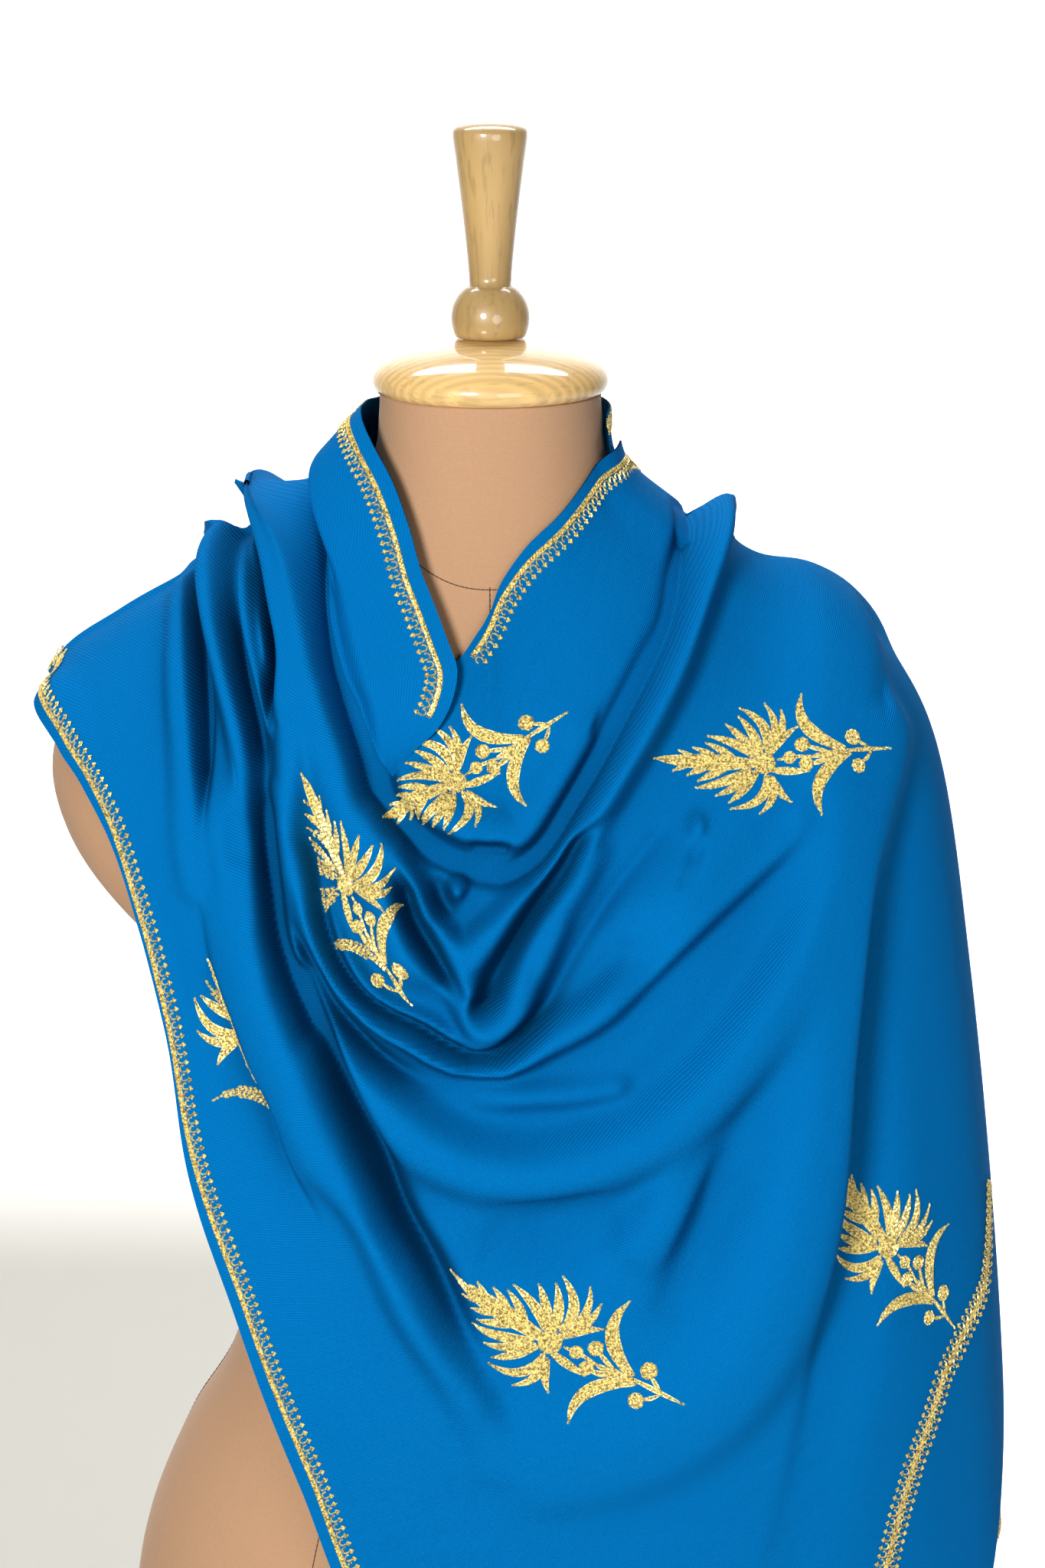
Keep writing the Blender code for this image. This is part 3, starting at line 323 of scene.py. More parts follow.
# Sprigs partly under a fold: number, the side that shows, and the fold's edge as (x, z)
COVERED_SPRIGS = (
    (5, -1, ((-150, 1112), (-105, 1122), (-112, 1146), (-117, 1156), (-125, 1178), (-132, 1202),
             (-142, 1235))),
    (2, 1, ((-47, 1178), (-60, 1187), (-69, 1199), (-74, 1210), (-78, 1223), (-80, 1233),
            (-82, 1251), (-86, 1262), (-87, 1282), (-89, 1297))),
)
UPPER_SPRIGS = 4          # the first sprigs are sewn as one piece, the front's others as a second
ROW_PITCH = 1.3           # mm between rows of stitches in a sprig
SPRIG_STITCH = 2.15       # mm from stitch to stitch in a row
SPRIG_JITTER = 0.45       # radians by which a stitch may turn
PLATE_STEPS = (9, 4)      # cells of a stroke's ground along and across
LEAF_START = 0.42         # a stroke's width at its start, as a share of its widest
LEAF_WIDENING = 1.5       # how fast it widens from there
LEAF_TAPER = (2.2, 0.8)   # powers of its narrowing towards the tip
LEAF_RIM = 0.35           # mm of thread beyond its drawn half width
LEAF_SPOTS = 24           # points along a row of its stitches
ROW_INSET = 0.5           # mm from its edge to the outermost row
ROW_ROOM = 0.25           # mm of half width that still holds a row
DISC_INSET = 0.55         # mm from a disc's edge to its outermost ring of stitches
DISC_SMALLEST = 0.3       # mm of radius of its innermost ring
DISC_SPOTS = 25           # points round such a ring
DISC_SPOKES = 11
DISC_RINGS = (0.05, 0.6, 1.0)     # rings of a disc's ground, as shares of its radius
EVEN_GAP = 2.0            # mm between the points of a border's rows
WALK_STEP = 1.5           # mm of a step over the cloth
GROUND_LIFT = 0.22        # mm of the laid ground over the cloth
STITCH_LIFT = 0.45        # mm of the stitches over the cloth
BAND_EDGE_LIFT = 0.1      # mm of a gold line's ground over the cloth at its edges
LOOP_GAP = 0.4            # mm from a gold line to its loops
BORDER_FROM = 0.55        # share of the front's top edge from which its border shows
LAPEL_BORDER_TO = 0.82    # share of the neck panel's edge to which its border is sewn
BAND_SPOTS = 120          # points on the end band

COVER_NET = (144, 150)    # (turns, steps) of the jersey cover
SEAT_NET = (160, 180)     # and of the form as the cloth rests on it
COLLAR_PLACE = 2.85       # ring of the cover's collar seam
SEAM_FOOT = len(FORM_RINGS) - 1.1
SEAM_SPOTS = 240          # points on a seam
COLLAR_SPOTS = 200
SEAM_LIFT = 0.15          # mm of a seam over the form
COVER_SEAMS = (
    # angle in degrees, ring at the top
    (90.0, COLLAR_PLACE), (270.0, 0.3), (62.0, 5.0), (118.0, 5.0), (242.0, 5.0), (298.0, 5.0),
    (350.0, 3.0), (190.0, 3.0),
)
TWILL_RIB = 1.5           # mm, three times as wide as woven, so that the ribs show
JERSEY_RIB = 1.05         # mm
FOLD_SHADE_REACH = 0.045  # m within which the cloth's folds darken its colour as painted shade

# The woodwork and the stand, in mm
CAP_RADIUS = 58.5
CAP_RIM_HEIGHT = 6.0
CAP_RIM_IN = 4.0          # how far its rim's foot draws in
CAP_HEIGHT = 27.0
CAP_FOOT = 1458.35
BALL_RADIUS = 19.5
BALL_HEIGHT = 9.0
HANDLE_NECK_RADIUS = 10.3
HANDLE_NECK_RISE = 16.0   # over the ball's middle
HANDLE_TOP_RADIUS = 18.4
HANDLE_TOP_DOME = 6.0
HANDLE_TOP_EDGE = 3.0     # the straight edge under that dome
FINIAL_HEIGHT = 106.0
POLE_RADIUS = 12.5
BASE_RADIUS = 170.0
BASE_HEIGHT = 22.0
BASE_FALL = 6.0           # from its middle to its rounded edge
BASE_EDGE = 9.0
BASE_FOOT_EDGE = 1.5
BASE_SOCKET_RADIUS = POLE_RADIUS * 2.2
SEAT_GAP = 0.35
TORSO_FOOT = 752.0

CAMERA_AT = (0.0158, -2.20, 1.799)
CAMERA_TILT = 13.8        # degrees below level
CAMERA_LENS = 5870 / 2048 * 36.0
FRAME_HEIGHT = 36.0       # mm of the sensor
FLOOR_TURN = 2.72         # m behind the form, where the floor turns up into the wall
FLOOR_BEND = 1.2          # m of radius in that turn
FLOOR_FADE = 0.6          # m over which its painted grey shade turns white
CHEST = (0.0, 0.0, 1.2)   # what the lights point at


# ---------------------------------------------------------------------------------- settings
def hex_colour(text):
    """Linear RGBA of an sRGB hex colour."""
    parts = [int(text[i:i + 2], 16) / 255 for i in (1, 3, 5)]
    return tuple(c / 12.92 if c <= 0.04045 else ((c + 0.055) / 1.055)**2.4 for c in parts) + (1.0,)


def colour_property(name, description, text):
    return bpy.props.FloatVectorProperty(name=name, description=description, subtype="COLOR", size=4,
                                         min=0.0, max=1.0, default=hex_colour(text))


def length_property(name, description, millimetres):
    return bpy.props.FloatProperty(name=name, description=description, subtype="DISTANCE",
                                   unit="LENGTH", default=millimetres * MM, min=0.0)


class ShawlSettings(bpy.types.PropertyGroup):
    wall: length_property("Cloth thickness", "Thickness of the shawl's cloth", 1.1)
    margin: length_property("Margin", "Plain cloth between an edge and its gold line", 8.5)
    stitch: length_property("Stitch", "Length of one chain stitch", 1.9)
    line_width: length_property("Line width", "Distance between a gold line's two rows", 1.3)
    loop_pitch: length_property("Loop pitch", "Distance between scroll loops along a border", 4.3)
    wool: colour_property("Wool", "Colour of the dyed wool", "#0069ac")
    gold: colour_property("Gold", "Colour of the gold thread", "#e2c67e")


class FormSettings(bpy.types.PropertyGroup):
    jersey: colour_property("Jersey", "Colour of the form's cotton cover", "#b58d6b")
    wood: colour_property("Wood", "Colour of the varnished wood", "#e3bb78")
    paint: colour_property("Paint", "Colour of the painted stand", "#1b1b1c")
    seam_stitch: length_property("Seam stitch", "Length of a stitch in the cover's seams", 2.6)


# ------------------------------------------------------------------------------ ring surfaces
def ring_sizes(rings, place):
    """The seven sizes at a place down the surface, by a smooth curve through the rings."""
    rings = np.asarray(rings, float)
    last = len(rings) - 1
    place = np.clip(place, 0.0, last - 1e-9)
    row = np.floor(place).astype(int)
    f = (place - row)[..., None]
    before, here, after, beyond = (rings[np.clip(row + k, 0, last)] for k in (-1, 0, 1, 2))
    return 0.5 * (2 * here + (after - before) * f
                  + (2 * before - 5 * here + 4 * after - beyond) * f**2
                  + (3 * here - before - 3 * after + beyond) * f**3)


def ring_surface(rings, fullness, angle, place):
    """Points in metres. Angle 0 is the right side, 90 degrees the front, 180 the left side."""
    sizes = ring_sizes(rings, place)
    right, left, side_z, front, front_z, back, back_z = np.moveaxis(sizes, -1, 0)
    across = np.cos(angle)
    ahead = np.sin(angle)
    power = 2.0 / fullness
    x = np.where(across > 0, right, left) * np.sign(across) * np.abs(across)**power
    y = np.where(ahead > 0, -front, back) * np.abs(ahead)**power
    z = side_z + (np.where(ahead > 0, front_z, back_z) - side_z) * np.abs(ahead)**DIP_POWER
    return np.stack([x, y, z], -1) * MM


def cloth_surface(angle, place):
    return ring_surface(CLOTH_RINGS, CLOTH_FULLNESS, angle, place)


def cloth_normal(angle, place):
    """Outward normals of the cloth's ring surface."""
    step = 1e-3
    round_way = cloth_surface(angle + step, place) - cloth_surface(angle - step, place)
    down_way = cloth_surface(angle, place + step) - cloth_surface(angle, place - step)
    return unit(np.cross(round_way, down_way))


def unit(vectors):
    return vectors / np.maximum(np.linalg.norm(vectors, axis=-1, keepdims=True), 1e-12)


def distances(points, axis=0):
    """How far each point lies along its line of a net, from the line's first point."""
    step = np.linalg.norm(np.diff(points, axis=axis), axis=-1)
    return np.insert(np.cumsum(step, axis=axis), 0, 0.0, axis=axis)


def between(at, knots, values):
    """Rows of values at places between knots."""
    return np.stack([np.interp(at, knots, column) for column in values.T], -1)


def chart_grid(back):
    """A dense net of places on one half of the cloth's ring surface."""
    columns, rows = CHART_NET
    half_turn = np.linspace(0.0, math.pi, columns)
    angles, places = np.meshgrid(half_turn + (math.pi if back else 0.0),
                                 np.linspace(0.0, len(CLOTH_RINGS) - 1, rows), indexing="ij")
    return angles, places, cloth_surface(angles, places)


CHARTS = {False: chart_grid(False), True: chart_grid(True)}


def chart_of(x, z, back=False):
    """Angle and place of the point that shows at (x, z) from the front or the back."""
    angles, places, points = CHARTS[back]
    if z >= RIDGE:
        row = 0 if (x > 0) != back else -1
        off = np.abs(points[row, :, 0] - x * MM)
        return np.array([angles[row, 0], places[row, int(np.argmin(off))]])
    off = (points[..., 0] - x * MM)**2 + (points[..., 2] - z * MM)**2
    spot = np.unravel_index(int(np.argmin(off)), off.shape)
    return np.array([angles[spot], places[spot]])


def charted(path, back=False):
    return [chart_of(x, z, back) for x, z in path]


def smooth_path(spots, shares):
    """Places on a smooth curve through the spots, at these shares of its length."""
    spots = np.asarray(spots, float)
    knots = distances(cloth_surface(spots[:, 0], spots[:, 1]))
    along = np.asarray(shares) * knots[-1]
    slope = np.gradient(spots, knots, axis=0)
    step = np.clip(np.searchsorted(knots, along, side="right") - 1, 0, len(knots) - 2)
    span = (knots[step + 1] - knots[step])[:, None]
    f = (along - knots[step])[:, None] / span
    return ((2 * f**3 - 3 * f**2 + 1) * spots[step] + (f**3 - 2 * f**2 + f) * span * slope[step]
            + (3 * f**2 - 2 * f**3) * spots[step + 1] + (f**3 - f**2) * span * slope[step + 1])


def ease(value, low, high):
    """0 below low, 1 above high, and smooth between."""
    share = np.clip((value - low) / (high - low), 0.0, 1.0)
    return share * share * (3 - 2 * share)


def fold_height(points, normals, folds, back=False):
    """How far the folds lift each point, in metres."""
    lift = np.zeros(points.shape[:-1])
    for start, middle, end, left, right, path in folds:
        spots = smooth_path(charted(path, back), np.linspace(0, 1, PATH_STEPS))
        line = cloth_surface(spots[:, 0], spots[:, 1])
        nearest = np.full(lift.shape, np.inf)
        share = np.zeros(lift.shape)
        for index in range(len(line) - 1):
            run = line[index + 1] - line[index]
            reach = points - line[index]
            part = np.clip((reach @ run) / (run @ run), 0.0, 1.0)
            away = reach - part[..., None] * run
            hand = (np.cross(normals, run) * away).sum(-1)
            width = np.where(hand > 0, left, right) * MM
            distance = np.linalg.norm(away, axis=-1) / width
            closer = distance < nearest
            nearest[closer] = distance[closer]
            share[closer] = (index + part[closer]) / (len(line) - 1)
        blend = ease(np.abs(2 * share - 1), 0.0, 1.0)
        height = middle + (np.where(share < 0.5, start, end) - middle) * blend
        highest = max(start, middle, end, key=abs)
        hold = np.clip(2 * height / highest, 0.0, 1.0)
        power = RIDGE_POWER if highest > 0 or min(left, right) > WIDE_CREASE else CREASE_POWER
        lift += (height * MM - lift) * hold * np.exp(-nearest**power)
    return lift


# -------------------------------------------------------------------------------- cloth nets
def sheet_net(top, foot, columns, rows, draw_in_from=None):
    """Angles and places of a net that fans out between a top edge and a foot edge.

    With draw_in_from, the last side keeps its top angle down to that place.
    """
    shares = np.linspace(0.0, 1.0, columns)
    top_line = smooth_path(top, shares)[:, None, :]
    foot_line = smooth_path(foot, shares)[:, None, :]
    down = np.linspace(0.0, 1.0, rows)[None, :, None]**ROW_CROWDING
    net = top_line + (foot_line - top_line) * down
    if draw_in_from is not None:
        side = net[-1].copy()
        share = np.clip((side[:, 1] - draw_in_from) / (side[-1, 1] - draw_in_from), 0.0, 1.0)
        side[:, 0] = side[0, 0] + (side[-1, 0] - side[0, 0]) * share**DRAW_IN_POWER
        net += (side - net[-1])[None] * (shares**2)[:, None, None]
    return net[..., 0], net[..., 1]


def net_normals(net, outward):
    """Normals of a net, on the same side as the outward ones."""
    normals = unit(np.cross(np.gradient(net, axis=0), np.gradient(net, axis=1)))
    return normals if (normals * outward).sum() > 0 else -normals


def net_faces(columns, rows, offset=0, turned=False):
    """Four-sided faces of a net, as an array of vertex numbers."""
    c, r = np.meshgrid(np.arange(columns - 1), np.arange(rows - 1), indexing="ij")
    first = (c * rows + r + offset).ravel()
    faces = np.stack([first, first + rows, first + rows + 1, first + 1], -1)
    return faces[:, ::-1] if turned else faces


def net_tree(net):
    """A search tree of a net."""
    columns, rows = net.shape[:2]
    return BVHTree.FromPolygons(net.reshape(-1, 3).tolist(), net_faces(columns, rows).tolist())


def floor_heights(points, outward, tree):
    """How high above each point a surface below lies, along its normal; very low where none is."""
    heights = np.full(points.shape[:-1], -1.0)
    start = RAY_START * MM
    for spot in np.ndindex(heights.shape):
        way = Vector(outward[spot])
        hit = tree.ray_cast(Vector(points[spot]) + way * start, -way, 2 * start)
        if hit[0] is not None:
            heights[spot] = start - hit[3]
    return heights


def rise_over(lift, floor, softness=1.2 * MM):
    """The lift, kept above a floor without a sharp kink."""
    return 0.5 * (lift + floor + np.sqrt((lift - floor)**2 + softness**2))


def blurred(net, rounds):
    """The net with each point drawn towards its neighbours, its rim kept."""
    net = net.copy()
    for _ in range(rounds):
        net[1:-1] = (net[:-2] + 2 * net[1:-1] + net[2:]) / 4
        net[:, 1:-1] = (net[:, :-2] + 2 * net[:, 1:-1] + net[:, 2:]) / 4
    return net


class Sheet:
    """One stretch of the shawl: its places on the ring surface and its finished outer points."""

    def __init__(self, name, angle, place, outer):
        self.name = name
        self.angle = angle
        self.place = place
        self.hull = cloth_surface(angle, place)
        self.outer = outer
        facing = np.cross(np.gradient(self.hull, axis=0), np.gradient(self.hull, axis=1))
        self.turned = bool((facing * cloth_normal(angle, place)).sum() < 0)
        self.normal = net_normals(outer, cloth_normal(angle, place))
        self.tree = net_tree(outer)
        calm = blurred(outer, 2)
        self.round_way = np.gradient(calm, axis=0)
        self.down_way = np.gradient(calm, axis=1)

    def sample(self, net, spots):
        """Values of a net at places given in its columns and rows."""
        last = np.array(net.shape[:2]) - 1
        spots = np.clip(spots, 0.0, last - 1e-6)
        low = np.floor(spots).astype(int)
        f = (spots - low)[..., None]
        c, r = low[..., 0], low[..., 1]
        fc, fr = f[..., 0, :], f[..., 1, :]
        return ((net[c, r] * (1 - fc) + net[c + 1, r] * fc) * (1 - fr)
                + (net[c, r + 1] * (1 - fc) + net[c + 1, r + 1] * fc) * fr)

    def find(self, x, z, back=False):
        """The spot, in columns and rows, that lies at (x, z) on the ring surface."""
        target = cloth_surface(*chart_of(x, z, back))
        off = ((self.hull - target)**2).sum(-1)
        return np.array(np.unravel_index(int(np.argmin(off)), off.shape), float)

    def walk(self, spots, headings, reach):
        """Spots and headings after going straight over the cloth for these lengths."""
        steps = max(1, int(math.ceil(np.abs(reach).max() / (WALK_STEP * MM))))
        stride = (reach / steps)[:, None]
        last = np.array(self.outer.shape[:2]) - 1.0
        for _ in range(steps):
            a = self.sample(self.round_way, spots)
            b = self.sample(self.down_way, spots)
            aa, bb, ab = (a * a).sum(-1), (b * b).sum(-1), (a * b).sum(-1)
            ha, hb = (headings * a).sum(-1), (headings * b).sum(-1)
            span = np.maximum(aa * bb - ab**2, 1e-16)
            move = np.stack([(ha * bb - hb * ab) / span, (hb * aa - ha * ab) / span], -1)
            spots = np.clip(spots + move * stride, -1.0, last + 1.0)
            normal = unit(np.cross(a, b))
            headings = unit(headings - normal * (headings * normal).sum(-1, keepdims=True))
        return spots, headings

    def upright(self, spots):
        """Outward normals at spots."""
        return unit(self.sample(self.normal, spots))

    def lay(self, spot, heading, flat):
        """Spots of a flat drawing, as (ahead, aside) in metres, laid on the cloth."""
        count = len(flat)
        spots = np.repeat(np.asarray(spot, float)[None], count, 0)
        headings = np.repeat(np.asarray(heading, float)[None], count, 0)
        spots, headings = self.walk(spots, headings, flat[:, 0])
        spots, _ = self.walk(spots, np.cross(self.upright(spots), headings), flat[:, 1])
        return spots

    def inside(self, spots):
        last = np.array(self.outer.shape[:2]) - 1.0
        return ((spots >= 0.0) & (spots <= last)).all(-1)

    def inset(self, rim, offset):
        """Spots at a distance from an edge: rim is "top" or "foot"."""
        lines = self.outer if rim == "top" else self.outer[:, ::-1]
        depth = np.array([np.interp(offset, run, np.arange(len(run))) for run in distances(lines, 1)])
        if rim == "foot":
            depth = self.outer.shape[1] - 1 - depth
        return np.stack([np.arange(len(lines), dtype=float), depth], -1)


# ------------------------------------------------------------------------------ mesh helpers
def linked(name, data):
    """A new object in the scene."""
    thing = bpy.data.objects.new(name, data)
    bpy.context.scene.collection.objects.link(thing)
    return thing


def new_mesh(name, vertices, faces, edges=()):
    mesh = bpy.data.meshes.new(name)
    mesh.from_pydata(vertices, edges, faces)
    return mesh


def new_object(mesh, material):
    """A smooth object of a mesh, under the mesh's name."""
    mesh.materials.append(material)
    mesh.shade_smooth()
    return linked(mesh.name, mesh)


def cloth_wall(name, sheet, wall, material):
    """A sheet's outer points with its cut thickness at the edges, and a cloth map in metres."""
    columns, rows = sheet.outer.shape[:2]
    count = columns * rows
    inner = sheet.outer - sheet.normal * wall
    faces = net_faces(columns, rows, turned=sheet.turned)
    c, r = np.meshgrid(np.arange(columns - 1), np.arange(rows - 1), indexing="ij")
    from_edge = np.minimum(np.minimum(c, columns - 2 - c), np.minimum(r, rows - 2 - r)).ravel()
    hem_faces = net_faces(columns, rows, count, turned=not sheet.turned)[from_edge < HEM_CELLS]
    rim = [(c, 0) for c in range(columns)] + [(columns - 1, r) for r in range(1, rows)]
    rim += [(c, rows - 1) for c in range(columns - 2, -1, -1)]
    rim += [(0, r) for r in range(rows - 2, 0, -1)]
    rim = np.array([c * rows + r for c, r in rim])
    after = np.roll(rim, -1)
    edge_faces = np.stack([after, rim, rim + count, after + count], -1)
    if sheet.turned:
        edge_faces = edge_faces[:, ::-1]
    faces = np.concatenate([faces, hem_faces, edge_faces])
    flat = np.stack([distances(sheet.hull, 0), distances(sheet.hull, 1)], -1)
    flat = np.tile(flat.reshape(-1, 2), (2, 1))
    normals = np.concatenate([sheet.normal.reshape(-1, 3), -sheet.normal.reshape(-1, 3)])
    vertices = np.concatenate([sheet.outer.reshape(-1, 3), inner.reshape(-1, 3)])
    used, faces = np.unique(faces, return_inverse=True)
    faces = faces.reshape(-1, 4)
    mesh = new_mesh(name, vertices[used].tolist(), faces.tolist())
    thing = new_object(mesh, material)
    loops = np.zeros(len(mesh.loops), int)
    mesh.loops.foreach_get("vertex_index", loops)
    mesh.uv_layers.new(name="cloth").data.foreach_set("uv", flat[used][loops].ravel())
    mesh.normals_split_custom_set_from_vertices(normals[used].tolist())
    return thing


def bake(thing):
    """The evaluated result as the object's plain mesh."""
    depsgraph = bpy.context.evaluated_depsgraph_get()
    mesh = bpy.data.meshes.new_from_object(thing.evaluated_get(depsgraph), depsgraph=depsgraph)
    thing.modifiers.clear()
    thing.data = mesh
    return thing


def template(name, vertices, faces):
    """A small mesh in millimetres that a tree of nodes repeats."""
    mesh = new_mesh(name, [tuple(c * MM for c in v) for v in vertices], faces)
    shell = bmesh.new()
    shell.from_mesh(mesh)
    bmesh.ops.recalc_face_normals(shell, faces=shell.faces)
    shell.to_mesh(mesh)
    shell.free()
    return linked(name, mesh)


def tube(points, radius, sides=3):
    """Vertices and faces of a thin closed tube through points, in the points' unit."""
    points = np.asarray(points, float)
    ways = unit(np.gradient(points, axis=0))
    aside = unit(np.cross(ways, (0.0, 0.0, 1.0)))
    over = np.cross(aside, ways)
    turns = [math.pi / 2 + 2 * math.pi * k / sides for k in range(sides)]
    vertices = [tuple(p + radius * (math.cos(t) * a + math.sin(t) * o))
                for p, a, o in zip(points, aside, over) for t in turns]
    faces = []
    for i in range(len(points) - 1):
        for k in range(sides):
            j = (k + 1) % sides
            faces.append((i * sides + k, i * sides + j, (i + 1) * sides + j, (i + 1) * sides + k))
    faces.append(tuple(range(sides - 1, -1, -1)))
    faces.append(tuple(range((len(points) - 1) * sides, len(points) * sides)))
    return vertices, faces


def joined(pieces):
    """One set of vertices and faces from several."""
    vertices, faces = [], []
    for some, their_faces in pieces:
        faces += [tuple(i + len(vertices) for i in face) for face in their_faces]
        vertices += list(some)
    return vertices, faces


# ------------------------------------------------------------------------------------ nodes
def add_node(tree, kind, inputs=None, **settings):
    """Adds a node with its settings; an input is a value or the socket that feeds it."""
    node = tree.nodes.new(kind)
    for name, value in settings.items():
        setattr(node, name, value)
    for name, value in (inputs or {}).items():
        socket = node.inputs[name]
        if isinstance(value, bpy.types.NodeSocket):
            tree.links.new(value, socket)
        else:
            socket.default_value = value
    return node


def stitch_tree():
    """Repeats a stitch along every row of a wire mesh, upright on the cloth."""
    tree = bpy.data.node_groups.new("stitches along rows", "GeometryNodeTree")
    sockets = {}
    for name, kind in (("Geometry", "NodeSocketGeometry"), ("Stitch", "NodeSocketObject"),
                       ("Pitch", "NodeSocketFloat"), ("Jitter", "NodeSocketFloat"),
                       ("Thread", "NodeSocketMaterial")):
        sockets[name] = tree.interface.new_socket(name, in_out="INPUT", socket_type=kind).identifier
    tree.interface.new_socket("Geometry", in_out="OUTPUT", socket_type="NodeSocketGeometry")
    given = add_node(tree, "NodeGroupInput").outputs
    curve = add_node(tree, "GeometryNodeMeshToCurve", {"Mesh": given["Geometry"]})
    spaced = add_node(tree, "GeometryNodeResampleCurve",
                      {"Curve": curve.outputs["Curve"], "Length": given["Pitch"]}, mode="LENGTH")
    up = add_node(tree, "GeometryNodeInputNamedAttribute", {"Name": "up"}, data_type="FLOAT_VECTOR")
    along = add_node(tree, "GeometryNodeInputTangent")
    upright = add_node(tree, "FunctionNodeAxesToRotation",
                       {0: up.outputs["Attribute"], 1: along.outputs["Tangent"]},
                       primary_axis="Z", secondary_axis="X")
    low = add_node(tree, "ShaderNodeMath", {0: 0.0, 1: given["Jitter"]}, operation="SUBTRACT")
    turn = add_node(tree, "FunctionNodeRandomValue",
                    {2: low.outputs[0], 3: given["Jitter"], "Seed": 7}, data_type="FLOAT")
    spin = add_node(tree, "ShaderNodeCombineXYZ", {"Z": turn.outputs[1]})
    turned = add_node(tree, "FunctionNodeRotateRotation",
                      {0: upright.outputs[0], 1: spin.outputs[0]}, rotation_space="LOCAL")
    stitch = add_node(tree, "GeometryNodeObjectInfo", {"Object": given["Stitch"]},
                      transform_space="ORIGINAL")
    put = add_node(tree, "GeometryNodeInstanceOnPoints",
                   {"Points": spaced.outputs["Curve"], "Instance": stitch.outputs["Geometry"],
                    "Rotation": turned.outputs[0]})
    real = add_node(tree, "GeometryNodeRealizeInstances", {"Geometry": put.outputs["Instances"]})
    dyed = add_node(tree, "GeometryNodeSetMaterial",
                    {"Geometry": real.outputs["Geometry"], "Material": given["Thread"]})
    add_node(tree, "NodeGroupOutput", {"Geometry": dyed.outputs["Geometry"]})
    return tree, sockets


def sew(name, rows, stitch, pitch, thread, jitter=0.0):
    """Sews a stitch along rows, each a pair of point and normal arrays, and bakes the result."""
    rows = [row for row in rows if len(row[0]) > 1]
    points = np.concatenate([row[0] for row in rows])
    ups = np.concatenate([row[1] for row in rows])
    edges, first = [], 0
    for row, _ in rows:
        edges += [(first + i, first + i + 1) for i in range(len(row) - 1)]
        first += len(row)
    mesh = new_mesh(name, points.tolist(), [], edges)
    mesh.attributes.new("up", "FLOAT_VECTOR", "POINT").data.foreach_set("vector", ups.ravel())
    thing = linked(name, mesh)
    tree, sockets = stitch_tree()
    sewing = thing.modifiers.new("sewing", "NODES")
    sewing.node_group = tree
    for socket, value in (("Stitch", stitch), ("Pitch", pitch), ("Jitter", jitter), ("Thread", thread)):
        sewing[sockets[socket]] = value
    return bake(thing)


# -------------------------------------------------------------------------------- materials
def new_material(name, finish):
    """A material, its tree and its shader, whose plain inputs are set from a dictionary."""
    material = bpy.data.materials.new(name)
    material.use_nodes = True
    shader = material.node_tree.nodes["Principled BSDF"]
    for socket, value in finish.items():
        shader.inputs[socket].default_value = value
    return material, material.node_tree, shader


def object_spot(tree):
    return add_node(tree, "ShaderNodeTexCoord").outputs["Object"]


def reckon(tree, operation, *values):
    return add_node(tree, "ShaderNodeMath", dict(enumerate(values)), operation=operation).outputs[0]


def noise(tree, spot, scale, detail):
    return add_node(tree, "ShaderNodeTexNoise",
                    {"Vector": spot, "Scale": scale, "Detail": detail}).outputs["Fac"]


def spread(tree, value, low, high, to_low=0.0, to_high=1.0, **settings):
    """The value's share of its way from low to high, as a share of another span."""
    return add_node(tree, "ShaderNodeMapRange",
                    {"Value": value, "From Min": low, "From Max": high, "To Min": to_low,
                     "To Max": to_high}, **settings).outputs[0]


def mixed(tree, share, first, second, **settings):
    return add_node(tree, "ShaderNodeMix", {0: share, 6: first, 7: second}, data_type="RGBA",
                    **settings).outputs[2]


def raise_grain(tree, shader, height, strength, distance):
    grain = add_node(tree, "ShaderNodeBump",
                     {"Height": height, "Strength": strength, "Distance": distance})
    tree.links.new(grain.outputs["Normal"], shader.inputs["Normal"])


def shade_pair(colour, down, up):
    """A darker and a lighter shade of a colour."""
    dark = tuple(c * down for c in colour[:3]) + (1.0,)
    light = tuple(min(1.0, c * up) for c in colour[:3]) + (1.0,)
    return dark, light


def wool_material(colour):
    """Fine goat's wool, dyed in the piece and woven in a twill: matt, soft bloom, faint diagonals; painted
    shade darkens its colour in the depth of its folds.
    """
    material, tree, shader = new_material("dyed pashmina twill", {
        "Roughness": 0.82, "Specular IOR Level": 0.02, "Sheen Weight": 0.04,
        "Sheen Roughness": 0.4, "Sheen Tint": hex_colour("#1c93e6")})
    cloth = add_node(tree, "ShaderNodeUVMap", uv_map="cloth").outputs["UV"]
    turns = math.tau / (TWILL_RIB * MM)
    ribs = add_node(tree, "ShaderNodeVectorMath", {0: cloth, 1: (turns * 0.5, turns * 0.87, 0.0)},
                    operation="DOT_PRODUCT").outputs["Value"]
    swing = reckon(tree, "MULTIPLY_ADD", noise(tree, cloth, 60.0, 2.0), 9.0, ribs)
    share = reckon(tree, "MULTIPLY_ADD", reckon(tree, "SINE", swing), 0.42,
                   noise(tree, cloth, 1400.0, 3.0))
    # painted shade: the cloth's own occlusion darkens its colour in the depth of a fold
    depth = add_node(tree, "ShaderNodeAmbientOcclusion", {"Distance": FOLD_SHADE_REACH}, samples=6,
                     only_local=True).outputs["AO"]
    tint = mixed(tree, share, *shade_pair(colour, 0.86, 1.12))
    tint = mixed(tree, 1.0, tint, spread(tree, depth, 0.35, 0.92, 0.4), blend_type="MULTIPLY")
    tree.links.new(tint, shader.inputs["Base Color"])
    raise_grain(tree, shader, share, 0.7, 0.0004)
    return material


